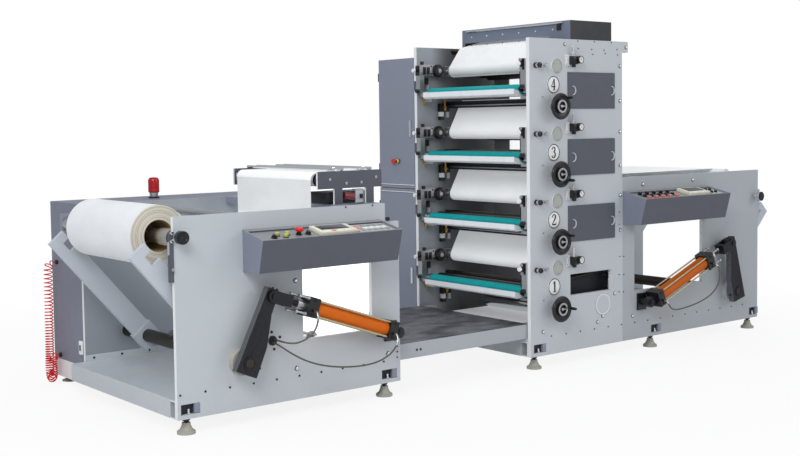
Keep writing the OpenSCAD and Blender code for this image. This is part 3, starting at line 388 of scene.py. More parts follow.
class Kit:
    """Collects shapes, given in the machine frame's millimetres, into one piece."""

    def __init__(self):
        self.bm = bmesh.new()
        self.mats = []

    def index(self, mat):
        if mat not in self.mats:
            self.mats.append(mat)
        return self.mats.index(mat)

    def face(self, verts, mat):
        self.bm.faces.new(verts).material_index = self.index(mat)

    def ring(self, centre, side, other, r, sides):
        return [
            self.bm.verts.new(centre + (side * cos(t) + other * sin(t)) * r * MM)
            for t in (2 * pi * k / sides for k in range(sides))
        ]

    def lathe(self, origin, profile, mat, sides, axis=OUT):
        """Turns [(radius, height), ...] about an axis; mat is one material or one a band."""
        axis = Vector(axis).normalized()
        side = axis.orthogonal().normalized()
        other = axis.cross(side)
        rings = []
        for r, h in profile:
            centre = at(*origin) + axis * h * MM
            if r <= 0:
                rings.append([self.bm.verts.new(centre)])
                continue
            rings.append(self.ring(centre, side, other, r, sides))
        for i, (a, b) in enumerate(zip(rings, rings[1:])):
            m = mat[i] if isinstance(mat, (list, tuple)) else mat
            for k in range(sides):
                n = (k + 1) % sides
                if len(a) > 1 and len(b) > 1:
                    self.face((a[k], a[n], b[n], b[k]), m)
                elif len(b) > 1:
                    self.face((a[0], b[n], b[k]), m)
                elif len(a) > 1:
                    self.face((a[k], a[n], b[0]), m)

    def rod(self, a, b, r, mat, sides, c):
        """Closed round bar between two points, its ends chamfered by c."""
        along = Vector(b) - Vector(a)
        h = along.length
        profile = [(0, 0), (r - c, 0), (r, c), (r, h - c), (r - c, h), (0, h)]
        self.lathe(a, profile, mat, sides, along)

    def box(self, lo, hi, mat, bevel, turn=None, pivot=None):
        """Block between two corners, with bevelled edges, turned about a pivot if asked."""
        lo, hi = at(*lo), at(*hi)
        made = bmesh.ops.create_cube(self.bm, size=1.0)["verts"]
        move = Matrix.Translation((lo + hi) / 2) @ Matrix.Diagonal((*(hi - lo), 1.0))
        bmesh.ops.transform(self.bm, matrix=move, verts=made)
        if bevel:
            edges = list({e for v in made for e in v.link_edges})
            width = min(bevel * MM, 0.45 * min(hi - lo))
            made = bmesh.ops.bevel(
                self.bm, geom=edges, offset=width, segments=2, profile=0.6, affect="EDGES"
            )["verts"]
        faces = {f for v in made for f in v.link_faces}
        for f in faces:
            f.material_index = self.index(mat)
        if turn is not None:
            centre = at(*pivot)
            matrix = Matrix.Translation(centre) @ turn @ Matrix.Translation(-centre)
            verts = list({v for f in faces for v in f.verts})
            bmesh.ops.transform(self.bm, matrix=matrix, verts=verts)

    def tube(self, points, r, mat, sides):
        """Round tube along points."""
        pts = [at(*p) for p in points]
        rings = []
        up = None
        for i, p in enumerate(pts):
            d = heading(pts, i)
            up = d.orthogonal() if up is None else up - d * up.dot(d)
            up.normalize()
            other = d.cross(up)
            rings.append(self.ring(p, up, other, r, sides))
        for a, b in zip(rings, rings[1:]):
            for k in range(sides):
                n = (k + 1) % sides
                self.face((a[k], a[n], b[n], b[k]), mat)
        self.face(list(reversed(rings[0])), mat)
        self.face(rings[-1], mat)

    def done(self, name, slot, body="root"):
        bmesh.ops.recalc_face_normals(self.bm, faces=self.bm.faces)
        mesh = bpy.data.meshes.new(name)
        self.bm.to_mesh(mesh)
        self.bm.free()
        for m in self.mats:
            mesh.materials.append(m)
        mesh.polygons.foreach_set("use_smooth", [True] * len(mesh.polygons))
        mesh.set_sharp_from_angle(angle=SHARP)
        piece = add_object(name, mesh)
        if body:
            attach(piece, body)
        return piece


def smooth_line(points, steps=4):
    """Catmull-Rom line through given points."""
    pts = [Vector(p) for p in points]
    pts = [2 * pts[0] - pts[1]] + pts + [2 * pts[-1] - pts[-2]]
    line = []
    for i in range(1, len(pts) - 2):
        a, b, c, d = pts[i - 1:i + 3]
        for k in range(steps):
            t = k / steps
            line.append(0.5 * (2 * b + (c - a) * t + (2 * a - 5 * b + 4 * c - d) * t * t
                               + (3 * b - a - 3 * c + d) * t ** 3))
    return line + [pts[-2]]


def length_of(points):
    return sum((Vector(b) - Vector(a)).length for a, b in zip(points, points[1:]))


# Hoses, on the routes of the source
COIL_ROUTE = [
    (-2505, 1770, 786), (-2523, 1770, 786), (-2543, 1770, 776), (-2554, 1771, 752),
    (-2556, 1773, 690), (-2555, 1776, 590), (-2554, 1780, 490), (-2553, 1785, 390),
    (-2552, 1791, 290), (-2551, 1797, 200), (-2551, 1802, 130), (-2551, 1800, 75),
    (-2551, 1782, 42), (-2551, 1760, 40), (-2552, 1744, 68), (-2553, 1742, 110),
    (-2550, 1746, 150), (-2540, 1750, 176), (-2524, 1752, 185), (-2505, 1752, 185),
]
UNWIND_FRONT_ROUTE = [
    (-1984, -6.5, 455), (-1984, -30, 455), (-1979, -58, 452), (-1968, -86, 447),
    (-1950, -112, 443), (-1926, -136, 443), (-1900, -157, 452), (-1872, -174, 468),
    (-1846, -186, 492), (-1824, -191, 522), (-1811, -191, 553), (-1805, -187, 577),
    (-1803, -180, 595), (-1802, -167, 608), (-1802, -150.6, 610),
]
UNWIND_REAR_ROUTE = [
    (-1994, -6.5, 439), (-1994, -28, 438), (-1991, -52, 433), (-1984, -76, 424),
    (-1971, -99, 410), (-1950, -119, 391), (-1922, -137, 371), (-1884, -152, 348),
    (-1836, -164, 326), (-1780, -173, 307), (-1715, -180, 291), (-1645, -185, 279),
    (-1570, -188, 271), (-1495, -190, 268), (-1425, -191, 272), (-1365, -192, 284),
    (-1315, -192, 304), (-1277, -192, 330), (-1251, -190, 360), (-1238, -183, 388),
    (-1235, -168, 411), (-1235, -150.6, 413),
]
REWIND_ROUTE = [
    (1747, -185.6, 587), (1747, -203, 586), (1749, -217, 576), (1753, -226, 560),
    (1758, -230, 537), (1763, -229, 507), (1764, -225, 474), (1758, -220, 442),
    (1742, -215, 412), (1716, -211, 386), (1678, -208, 362), (1630, -206, 342),
    (1572, -205, 326), (1508, -205, 313), (1440, -206, 304), (1370, -208, 298),
    (1305, -212, 296), (1250, -217, 302), (1212, -221, 317), (1193, -221, 338),
    (1187, -213, 358), (1186, -202, 367), (1186, -185.6, 368),
]
HOSE_D = 10
COIL_TUBE_D = 7
COIL_R = 25
# Turns start wide and close up along this length; both ends run straight, then widen
COIL_PITCH, COIL_CLOSES_OVER = (30, 15), 650
COIL_STRAIGHT, COIL_DRAWS_IN = 8, 30
SLEEVE = 2


def end_part(line, length):
    """The last stretch of a line; a negative length takes the first one."""
    pts = list(reversed(line)) if length > 0 else list(line)
    part, done = [pts[0]], 0.0
    for a, b in zip(pts, pts[1:]):
        done += (b - a).length
        part.append(b)
        if done > abs(length):
            break
    return part


def hose(name, node, route, sleeves, blend_to=None, body="root"):
    """sleeves are the lengths of its end fittings, as end_part takes them."""
    line = smooth_line(route)
    kit = Kit()
    kit.tube(line, HOSE_D / 2, HOSE, 12)
    for end in sleeves:
        kit.tube(end_part(line, end), HOSE_D / 2 + SLEEVE, STEEL, 12)
    piece = kit.done(name, "hose_dark", body=None if blend_to else body)
    if blend_to:
        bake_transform(piece)
    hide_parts(node)
    path = [at(*p) for p in line]
    length_of(path)


def coil_hose():
    """Spiral air hose: turns about its route, drawn in at both ends to the fittings."""
    line = smooth_line(COIL_ROUTE, 80)
    total = length_of(line)
    points, done, up, a = [], 0.0, None, 0.0
    for i, p in enumerate(line):
        d = heading(line, i)
        up = Vector((0, 1, 0)) if up is None else up - d * up.dot(d)
        up.normalize()
        if i:
            step = (p - line[i - 1]).length
            done += step
            closed = min(1.0, done / COIL_CLOSES_OVER)
            pitch = COIL_PITCH[0] + (COIL_PITCH[1] - COIL_PITCH[0]) * closed
            a += 2 * pi * step / pitch
        near_end = min(done, total - done)
        r = COIL_R * min(1.0, max(0.0, (near_end - COIL_STRAIGHT) / COIL_DRAWS_IN))
        points.append(p + (up * cos(a) + d.cross(up) * sin(a)) * r)
    kit = Kit()
    kit.tube(points, COIL_TUBE_D / 2, HOSE_RED, 8)
    piece = kit.done("spiral_air_hose", "hose_red")
    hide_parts("coil_hose")
    path = [at(*p) for p in points]
    length_of(path)


# CAD nodes keep their shapes; they get materials, face by face where finishes meet, and soft edges
WELD, BEVEL_FROM = 0.00002, radians(50)


def dress(node, mat, rules=(), bevel=0.0):
    """rules are (material, test) pairs; test sees a face's centre in machine mm and its normal."""
    obj = nodes[node]
    mesh = obj.data
    mesh.materials.clear()
    for m in [mat] + [m for m, _ in rules]:
        mesh.materials.append(m)
    for poly in mesh.polygons:
        centre = (poly.center - ZERO) / MM
        poly.material_index = next(
            (i + 1 for i, (_, test) in enumerate(rules) if test(centre, poly.normal)), 0
        )
    if bevel:
        weld = obj.modifiers.new("weld", "WELD")
        weld.merge_threshold = WELD
        soft = obj.modifiers.new("edges", "BEVEL")
        soft.width = bevel * MM
        soft.segments = 2
        soft.limit_method = "ANGLE"
        soft.angle_limit = BEVEL_FROM
        soft.harden_normals = True


# Lift cylinders: rear pivot and axis, in X and Z
CYLINDERS = {
    "unwind_barrel": (Vector((-1154, 405)), radians(160.913)),
    "rewind_barrel": (Vector((1106, 356)), radians(21.274)),
}
# Places along a cylinder from its rear pivot, and the radius beyond which its tie rods lie
TUBE_FROM, TUBE_TO, HEAD_FROM, TUBE_R = 111, 642, 718, 50
TUBE_OFF_MIDDLE = 7


def barrel_rules(node):
    rear, tilt = CYLINDERS[node]
    mid_y = (span(node)[0].y + span(node)[1].y) / 2 + TUBE_OFF_MIDDLE

    def along(c):
        return (c.x - rear.x) * cos(tilt) + (c.z - rear.y) * sin(tilt)

    def off_axis(c):
        return hypot((c.z - rear.y) * cos(tilt) - (c.x - rear.x) * sin(tilt), c.y - mid_y)

    return [
        (STEEL, lambda c, n: along(c) > HEAD_FROM),
        (BLACK, lambda c, n: not TUBE_FROM <= along(c) <= TUBE_TO),
        (BEIGE, lambda c, n: off_axis(c) > TUBE_R),
    ]


def near(c, x, z, r):
    return hypot(c.x - x, c.z - z) < r


def about(axis, r):
    """Test for faces within a radius of an axis across the machine."""
    return lambda c, n: near(c, *axis, r)


FACING = 0.9
# Faces turned to the left, towards the key light, get the pale paint as a painted highlight
LEFT_FACE_HIGHLIGHT = (PALE_PAINT_AND_HIGHLIGHT, lambda c, n: n.x < -FACING)
PIVOT_TUBE_R, ROLL_CORE_R, PLUG_R = 41, 102, 47.5
# Door locks lie behind this y, the rewinder's own parts right of this x
LOCK_Y, REWINDER_X = 1573, 2000


def dress_nodes():
    dress("unwinder_front_panel", PANEL, [LEFT_FACE_HIGHLIGHT])
    for node, mat in (
        ("tower_front_plate", PANEL), ("rewinder_back_panel", PANEL), ("base_channels", PANEL),
        # The rewinder's front panel and the walkway channels get the darker copy as painted shade
        ("cabinet_plinth", PANEL), ("rewinder_front_panel", PANEL_FALLOFF_SHADE),
        ("walkway_channels", PANEL_FALLOFF_SHADE), ("unwinder_back_panel", PANEL_SHADE),
        ("web_guide_frame", SLATE),
    ):
        dress(node, mat, [LEFT_FACE_HIGHLIGHT], bevel=2)
    dress("cross_beams", PANEL, [(CABINET, lambda c, n: c.z > 1100)], bevel=2)
    dress("tower_back_plate", PANEL_SHADE, [
        LEFT_FACE_HIGHLIGHT, (INNER_PLATE, lambda c, n: n.y < -FACING),
    ], bevel=2)
    dress("unwind_arms", ARM, [(SHAFT, about(UNWIND_PIVOT, PIVOT_TUBE_R))])
    dress("rewind_arms", ARM, [(SHAFT, about(REWIND_PIVOT, PIVOT_TUBE_R))])
    # The whole unwinder cabinet in the darker copy: painted shade
    dress("unwinder_cabinet", CABINET_SHADED, bevel=2.5)
    dress("drive_cabinet", CABINET, [(BLACK, lambda c, n: c.x < 20 and c.y > LOCK_Y)])
    for node in ("door_upper", "door_lower"):
        dress(node, CABINET, [
            (BLACK, lambda c, n: c.y > LOCK_Y), (CHROME, lambda c, n: -15 < c.x < -0.5),
        ], bevel=2)
    dress("consoles", SLATE, [
        # End faces painted lighter: painted light on the side towards the key light
        (CONSOLE_SIDE_LIT, lambda c, n: abs(n.x) > FACING),
        (FIELD, lambda c, n: n.z > 0.7),
    ], bevel=2)
    dress("window_covers", SLATE, [(PANEL, lambda c, n: c.y < TOWER_Y - 6.5)], bevel=1)
    dress("hot_air_box", BOX_BLUE, [
        (CHROME, lambda c, n: c.x < 400), (SLATE_DARK, lambda c, n: n.y < -FACING),
    ])
    dress("walkway_sheet", WALKWAY)
    dress("web_infeed", WEB, [
        (WEB_LIT, lambda c, n: c.x > -1260), (WEB_FALL, lambda c, n: c.x > -1640 and c.z < 1300),
    ])
    dress("web_print", WEB, [
        (WEB_GAP, lambda c, n: 660 < c.x < 690 and n.x < -0.9 and c.z > 1400),
        (WEB_DIM, lambda c, n: 660 < c.x < 690 and n.x < -0.9),
        (WEB_TOP, lambda c, n: c.z > 1990),
    ])
    dress("web_outfeed", WEB)
    dress("paper_roll", PAPER, [
        (CORE, about(ROLL_AXIS, ROLL_CORE_R)),
        (ROLL_END, lambda c, n: abs(n.y) > FACING),
    ])
    dress("rewind_shaft", PAPER)
    dress("fountain_rollers", TEAL, [(STEEL_Y, lambda c, n: c.y < 76 or c.y > 1039)])
    dress("station_brackets", STEEL, [
        (PALE_PAINT_AND_HIGHLIGHT, lambda c, n: c.x < -38), (BLACK, lambda c, n: c.x < -11.5),
        (PANEL_SHADE, lambda c, n: abs(n.z) > FACING),
    ])
    dress("station_discs", WHITE, [
        (PLUG, lambda c, n: any(near(c, PLUG_X, z + PLUG_UP, PLUG_R) for z in WHEEL_Z)),
        (PANEL, lambda c, n: c.x > 600),
        (CHROME, lambda c, n: c.x < 150),
    ])
    dress("reel_chucks", STEEL_Y, [
        # Low rewinder parts get the darker panel copy as painted shade
        (PANEL_FALLOFF_SHADE, lambda c, n: c.x > REWINDER_X and c.z < 1015),
        (CHROME, lambda c, n: c.x > REWINDER_X and c.y > TOWER_Y - 60),
        (BLACK, lambda c, n: c.y < TOWER_Y - 30 or c.y < -30),
        (CHROME, lambda c, n: c.y < -1),
        (SLATE, lambda c, n: -1 < c.y < 26),
        (CABINET, lambda c, n: c.y > 1370),
    ])
    dress("linkage_mounts", CREAM_PAINT, [
        (BLACK, lambda c, n: any(near(c, v.x, v.y, 100) for v, _ in CYLINDERS.values())),
        # The rewinder's mounts get the darker panel copy as painted shade
        (PANEL_FALLOFF_SHADE, lambda c, n: c.x > 1500),
    ])
    dress("levelling_feet", FOOT, [(GRAPHITE, lambda c, n: c.z > 62)])
    for node in CYLINDERS:
        # The rewind cylinder gets the darker orange as painted shade
        dress(node, ORANGE if node == "unwind_barrel" else ORANGE_SHADED, barrel_rules(node))
    for node, mat in (
        ("reel_shaft", STEEL_Y), ("web_guide_rods", CHROME),
        ("tie_bars", STEEL_Y), ("turn_rollers", SHAFT), ("impression_rollers", STEEL_Y),
        ("plate_shafts", SHAFT), ("anilox_rollers", ANILOX),
        ("handwheel_bearings", STEEL), ("ink_trays", TRAY),
        ("hose_glands", BLACK_RUBBER),
        ("unwind_rod", GRAPHITE), ("rewind_rod", GRAPHITE),
    ):
        dress(node, mat)
    dress("guide_rollers", CHROME, [(PAPER, lambda c, n: c.x > REWINDER_X)])
    for node in ("unwind_lever", "rewind_lever"):
        # Faces turned to the left get the lighter steel as a painted highlight
        dress(node, GRAPHITE, [(LEVER_SIDE_HIGHLIGHT, lambda c, n: n.x < -0.6 and abs(n.y) < 0.3)], bevel=1.5)


# Hardware, each shape added to a kit
def dome_bolt(kit, x, y, z, r=11):
    washer = [(r * 1.3, 0), (r * 1.3, 2), (r * 0.9, 2.2)]
    dome = [(r, 2), (r, 6), (r * 0.85, 9), (r * 0.45, 11), (0, 11.5)]
    kit.lathe((x, y, z), washer, [PLUG, GRAPHITE], 18)
    kit.lathe((x, y, z), dome, CHROME, 18)


def cap_screw(kit, x, y, z, r=6, mat=BLACK, out=OUT):
    kit.lathe((x, y, z), [
        (r, 0), (r, 3), (r * 0.85, 3.8), (r * 0.5, 3.8), (r * 0.45, 1.5), (0, 1.5)
    ], mat, 12, out)


def hex_nut(kit, origin, axis, r, h, mat=STEEL):
    kit.lathe(origin, [
        (0, 0), (r * 0.94, 0), (r, h * 0.12), (r, h * 0.88), (r * 0.94, h), (0, h)
    ], mat, 6, axis)


def flat_ring(inner, outer, h):
    return [(inner, 0), (inner, h), (outer, h), (outer, 0)]


UNWINDER_DOMES = [(-1829, 771), (-1831, 269), (-1171, 267)]
TOWER_DOMES = [
    (332, 2165), (945, 2161), (882, 2028), (881, 1787), (881, 1573), (881, 1337), (882, 1128),
    (883, 884), (823, 440), (698, 295), (647, 258), (113, 251), (1013, 260), (1124, 1194),
    (1688, 1204),
]
TOWER_HOLES = [
    (874, 1010), (873, 925), (880, 697), (922, 694), (873, 568), (922, 564), (872, 447),
    (918, 442), (464, 2140), (596, 2137), (606, 2104), (721, 2136), (732, 2112), (853, 2144),
    (860, 2107), (459, 2190), (623, 2190), (796, 2190),
]
UNWINDER_HOLES = [(-1098, 303), (-1100, 270), (-1101, 236), (-1469, 1169), (-1274, 1169)]
GLAND_SCREWS = [(-1994, 496), (-1940, 462), (-1979, 398)]
UNWINDER_ROW = [(-2573 + 152 * k, 224) for k in range(10)]
TOWER_ROW = [(193 + 141 * k, 214 - 0.5 * k) for k in range(16)]
WALKWAY_SCREWS = [(-946, 262), (-916, 262)]


def panel_fasteners():
    bolts = Kit()
    for x, z in UNWINDER_DOMES:
        dome_bolt(bolts, x, 0, z)
    for x, z in TOWER_DOMES:
        dome_bolt(bolts, x, TOWER_Y, z, 10)
    bolts.done("dome_bolts", "bright_steel")
    screws = Kit()
    for places, y, r, mat in (
        (UNWINDER_ROW, 0, 6, BLACK), (TOWER_ROW, TOWER_Y, 4.5, GRAPHITE),
        (UNWINDER_HOLES, 0, 5, BLACK), (TOWER_HOLES, TOWER_Y, 4, GRAPHITE),
        (GLAND_SCREWS, 0, 8, BLACK), (WALKWAY_SCREWS, 0, 7, BLACK),
    ):
        for x, z in places:
            cap_screw(screws, x, y, z, r, mat)
    screws.lathe((-1164, 0, 1082), [(13, 0), (13, 10), (11, 13), (0, 13)], BLACK, 16)
    screws.done("cap_screws", "dark_steel")


# Numerals as ribbons: points and widths about the disc's centre
NUMERALS = [
    [([(-13, 22), (-5, 27), (3, 36)], [3, 5, 6]), ([(3, 36), (3, -33)], [13, 13]),
     ([(-13, -35), (18, -35)], [4, 4])],
    [([(-15, 17), (-14, 26), (-5, 35), (5, 35), (13, 28), (13, 17), (7, 4), (-3, -10), (-12, -22),
       (-17, -32)], [9, 7, 6, 7, 11, 12, 11, 8, 6, 5]),
     ([(-17, -31), (17, -31)], [9, 9]), ([(15, -34), (19, -19)], [5, 3])],
    [([(-15, 20), (-12, 29), (-3, 36), (6, 34), (12, 25), (10, 13), (2, 5), (-5, 4)],
      [8, 7, 6, 8, 11, 10, 7, 5]),
     ([(-4, 4), (6, 1), (14, -9), (13, -22), (5, -33), (-6, -35), (-14, -29), (-16, -21)],
      [5, 7, 11, 12, 8, 6, 8, 9])],
    [([(7, 38), (7, -34)], [11, 11]), ([(6, 35), (-19, -12)], [5, 4]),
     ([(-20, -14), (20, -14)], [7, 7]), ([(-5, -36), (19, -36)], [4, 4])],
]


def ribbon(kit, x, y, z, points, widths, mat):
    front, back = [], []
    points = [Vector(p) for p in points]
    for i, p in enumerate(points):
        d = heading(points, i) * widths[i] / 2
        sides = ((p.x - d.y, p.y + d.x), (p.x + d.y, p.y - d.x))
        front.append([kit.bm.verts.new(at(x + u, y - 1, z + v)) for u, v in sides])
        back.append([kit.bm.verts.new(at(x + u, y, z + v)) for u, v in sides])
    for i in range(len(points) - 1):
        kit.face((front[i][0], front[i][1], front[i + 1][1], front[i + 1][0]), mat)
        for k in (0, 1):
            kit.face((front[i][k], front[i + 1][k], back[i + 1][k], back[i][k]), mat)


def station_marks():
    kit = Kit()
    y = TOWER_Y - 6
    for wz, strokes in zip(WHEEL_Z, NUMERALS):
        z = wz + DISC_UP
        kit.lathe((DISC_X, y, z), flat_ring(51, 56, 1), INK, 48)
        for points, widths in strokes:
            ribbon(kit, DISC_X, y, z, points, widths, INK)
    kit.done("station_numerals", "black_plastic")
    marks = Kit()
    for wz in WHEEL_Z:
        z = wz + PLUG_UP
        marks.lathe((PLUG_X, y, z), flat_ring(43, PLUG_R, 1.2), PANEL_SHADE, 40)
        marks.lathe((PLUG_X, y, z), [(0, 0.6), (30, 0.6), (30, 0)], PLUG, 32)
        for a in (0.6, 2.7, 4.8):
            cap_screw(marks, PLUG_X + 37 * cos(a), y, z + 37 * sin(a), 3.5, STEEL)
        z = wz + KNOB_UP
        collar = [(14.5, 0), (18, 2), (18, 12), (14.5, 15)]
        tip = [(14, 0), (12, 4), (7, 5), (7, 1), (0, 1)]
        for h, profile in ((0, collar), (34, collar), (50, tip)):
            marks.lathe((55, TOWER_Y - h, z), profile, BLACK, 20)
        marks.lathe((90, TOWER_Y, z), [(12, 0), (12, 26), (9, 30), (0, 30)], STEEL, 18)
        marks.lathe((125, TOWER_Y - 30, z), [(14, 0), (14, 6), (9, 10), (0, 10)], STEEL, 18)
        cap_screw(marks, 120, TOWER_Y, wz + 62, 6, STEEL)
    marks.lathe((700, y, 378), flat_ring(66, 72, 1.5), PALE_PAINT_AND_HIGHLIGHT, 48)
    marks.done("station_hardware", "bright_steel")


# Inside each station: x, distance from the back plate, height above the handwheel
STATION_BLOCKS = [
    ((-8, 52, 244), (112, 45.2, 326), STEEL, 2),
    ((16, 55, 252), (44, 52, 306), BLACK, 1), ((24, 57, 268), (36, 55, 290), GRAPHITE, 1),
    ((52, 55, 252), (80, 52, 306), BLACK, 1), ((60, 57, 268), (72, 55, 290), GRAPHITE, 1),
    ((-6, 60, 322), (20, 46, 346), BLACK, 2), ((196, 30, -18), (288, 0, 44), GRAPHITE, 3),
    ((198, 34, -52), (228, 4, -18), WHITE, 2), ((196, 34, -78), (232, 4, -52), BLACK, 2),
    # The last block is a dark plate over a notch in the back plate: painted shade
    ((258, 30, -60), (282, 4, -18), PANEL, 2), ((-2, 3, 184), (108, 0.5, 230), SHADE_FILL, 0.5),
]
# x, distance, the rod's two heights, then the nut's height, radius and length
VALVES = [(52, 20, 94, 34, 60, 13, 12), (238, 34, -12, 84, 6, 15, 16)]
HUB = [(48, 0), (48, 12), (44, 15), (40, 15), (40, 24), (36, 27), (20, 27), (18, 20), (15, 20),
       (15, 30), (0, 31)]
HUB_MATS = [BLACK] * 2 + [GRAPHITE] + [BLACK] * 3 + [GRAPHITE] + [STEEL] * 3


def station_fittings():
    """Slide plates, hubs, valves and rods inside the tower."""
    kit = Kit()
    across = BACK_Y - TOWER_Y - 52
    front = TOWER_Y + 30
    for wz in WHEEL_Z:
        def place(x, dy, z):
            return (x, BACK_Y - dy, wz + z)

        for lo, hi, mat, bevel in STATION_BLOCKS:
            kit.box(place(*lo), place(*hi), mat, bevel)
        for z in (312, 258):
            cap_screw(kit, *place(96, 52, z), 6, BLACK)
        kit.lathe(place(160, 45, 280), HUB, HUB_MATS, 28)
        for x, out, low, high, nut_z, nut_r, nut_h in VALVES:
            kit.rod(place(x, out, low), place(x, out, high), 8, BRASS, 12, 1)
            hex_nut(kit, place(x, out, nut_z), UP, nut_r, nut_h, BRASS)
        if wz > WHEEL_Z[0]:
            kit.box(place(292, across, 8), place(304, 2, 50), SHADE_FILL, 2)
            kit.rod(place(288, 2, 26), place(288, across, 26), 5, STEEL_Y, 12, 1)
            kit.rod(place(280, 2, 50), place(280, across, 50), 8, GRAPHITE, 14, 1)
        for z, out in ((306, 22), (250, 16)):
            knob = [(8, 0), (8, out - 8), (11, out - 8), (11, out), (0, out)]
            kit.lathe((-12, front + 24, wz + z), knob, [BLACK, STEEL, STEEL, STEEL], 14, LEFT)
        kit.box((-10, front + 46, wz + 150), (30, front + 52, wz + 232), GRAPHITE, 2)
        boss = [(20, 0), (20, 10), (12, 14), (0, 14)]
        kit.lathe((10, front + 52, wz + 118), boss, BLACK, 18, BACK)
    # Dark plate inside the tower behind the first station's window: painted shade
    kit.box((340, TOWER_Y + 110, 420), (880, TOWER_Y + 116, 680), SHADE_FILL, 2)
    kit.box((340, TOWER_Y + 70, 452), (880, TOWER_Y + 112, 462), GRAPHITE, 2)
    kit.rod((360, TOWER_Y + 96, 560), (860, TOWER_Y + 96, 600), 12, SHAFT, 16, 2)
    kit.done("station_fittings", "dark_steel")


HANDLE_ANGLES = (0, 35, -34, 52)
WHEEL_OUT, RIM_R, RIM_TUBE_R, GRIP_R = 70, 77, 11, 72
WHEEL_DISC = [(0, -2), (28, -2), (30, 10), (31, 14), (43, 14), (44, 10), (46, -1), (69, 4),
              (69, -4), (32, -8), (30, -26), (15, -26), (15, -69), (0, -69)]
WHEEL_MATS = [BLACK] * 2 + [STEEL] * 3 + [BLACK] * 5 + [STEEL] * 3
GRIP = [(7, 6), (7, 14), (9.5, 18), (10.5, 36), (9, 56), (6, 64), (0, 66)]


def handwheels():
    for i, (wz, turned) in enumerate(zip(WHEEL_Z, HANDLE_ANGLES)):
        kit = Kit()
        c = (WHEEL_X, TOWER_Y - WHEEL_OUT, wz)
        rim = [(RIM_R + RIM_TUBE_R * cos(t), RIM_TUBE_R * sin(t)) for t in
               (2 * pi * k / 14 for k in range(15))]
        kit.lathe(c, rim, BLACK, 48)
        kit.lathe(c, WHEEL_DISC, WHEEL_MATS, 40)
        kit.lathe(c, [(0, 12), (9, 12), (11, 9), (11, -2)], STEEL, 16)
        kit.box((c[0] + 6, c[1] - 12, wz - 4), (c[0] + 30, c[1] - 6, wz + 4), STEEL, 1)
        a = radians(turned)
        grip = (c[0] + GRIP_R * cos(a), c[1], wz + GRIP_R * sin(a))
        kit.lathe(grip, GRIP, [STEEL] + [BLACK] * 5, 18)
        node = "handwheel_%d" % (i + 1)
        piece = kit.done("crank_wheel_%d" % (i + 1), "black_plastic", node)
        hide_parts(node)


DRAIN = [(0, 0), (13, 0), (15, 4), (15, 17), (11, 20)]
STEM = [(11, 0), (11, 5), (8, 6), (8, 62), (5, 66), (0, 66)]
ELBOW = [(0, -9), (8, -9), (8, 10), (5, 12), (0, 12)]
GAUGE = [(12, -18), (12, 0), (25, 3), (26, 6), (26, 38), (24, 41), (22, 41), (21.5, 38)]
GAUGE_FACE = 38


def regulators():
    kit = Kit()
    y = TOWER_Y
    for wz in WHEEL_Z:
        x, z = 398, wz + REGULATOR_UP
        kit.box((338, y - 4, z - 36), (380, y, z + 38), PALE_PAINT_AND_HIGHLIGHT, 1)
        kit.box((372, y - 44, z - 27), (420, y - 2, z + 28), BLACK, 3)
        kit.box((376, y - 47, z - 12), (404, y - 43, z + 14), GRAPHITE, 1)
        kit.lathe((x - 4, y - 24, z - 46), DRAIN, BLACK, 18, UP)
        kit.lathe((x - 10, y - 24, z + 28), STEM, CHROME, 16, UP)
        kit.lathe((x - 10, y - 24, z + 46), ELBOW, CHROME, 16, LEFT)
        g = (432, y - 20, z + 4)
        kit.lathe(g, GAUGE, BLACK, 32)
        kit.lathe(g, [GAUGE[-1], (0, GAUGE_FACE)], WHITE, 32)
        for k in range(9):
            a = radians(225 - 33.75 * k)
            u, v = cos(a), sin(a)
            tick = [(15 * u, 15 * v), (19 * u, 19 * v)]
            ribbon(kit, g[0], g[1] - GAUGE_FACE, g[2], tick, [1.6, 1.6], INK)
        needle = [(4, -6), (-7, 12)]
        ribbon(kit, g[0], g[1] - GAUGE_FACE - 0.5, g[2], needle, [2.4, 1.2], INK)
        for dz in (28, -26):
            cap_screw(kit, 346, y - 4, z + dz, 4, STEEL)
    piece = kit.done("regulators_with_gauges", "black_plastic")
    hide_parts("air_regulators")


# Consoles: u runs along the field, v up its slope, h out of it
CONSOLE_DEEP, CONSOLE_RISE, CONSOLE_HIGH = 212, 48, 237
SLOPE = atan(CONSOLE_RISE / CONSOLE_DEEP)
FIELD_LONG = CONSOLE_DEEP / cos(SLOPE)
FIELD_SUNK = 10
CONSOLES = ((-2170, 0, 846), (912, TOWER_Y, 918))


def on_console(which, u, v, h=0.0):
    x, y, z = CONSOLES[which]
    v -= FIELD_LONG
    h -= FIELD_SUNK
    return (x + u, y + v * cos(SLOPE) - h * sin(SLOPE),
            z + CONSOLE_HIGH + v * sin(SLOPE) + h * cos(SLOPE))


FIELD_OUT = (0, -sin(SLOPE), cos(SLOPE))
TILT = Matrix.Rotation(SLOPE, 4, "X")


def push_button(kit, which, u, v, r, cap, collar, h):
    kit.lathe(on_console(which, u, v), [
        (r + 4, 0), (r + 4, 3), (r + 1, 5), (r, 5), (r, h), (r * 0.8, h + 2), (0, h + 2)
    ], [collar] * 3 + [cap] * 3, 20, FIELD_OUT)


def selector(kit, which, u, v, r=15):
    kit.lathe(on_console(which, u, v), [
        (r + 4, 0), (r + 4, 3), (r, 6), (r, 14), (r * 0.8, 17), (0, 17)
    ], BLACK, 20, FIELD_OUT)
    lo, hi = on_console(which, u - 4, v - r, 16), on_console(which, u + 4, v + r, 16)
    kit.tube([lo, hi], 5, BLACK, 8)


def flat_box(kit, which, u, v, w, d, h, mat, bevel):
    """Box on a field, laid along the slope."""
    corner = on_console(which, u, v)
    kit.box(corner, (corner[0] + w, corner[1] + d, corner[2] + h), mat, bevel, TILT, corner)


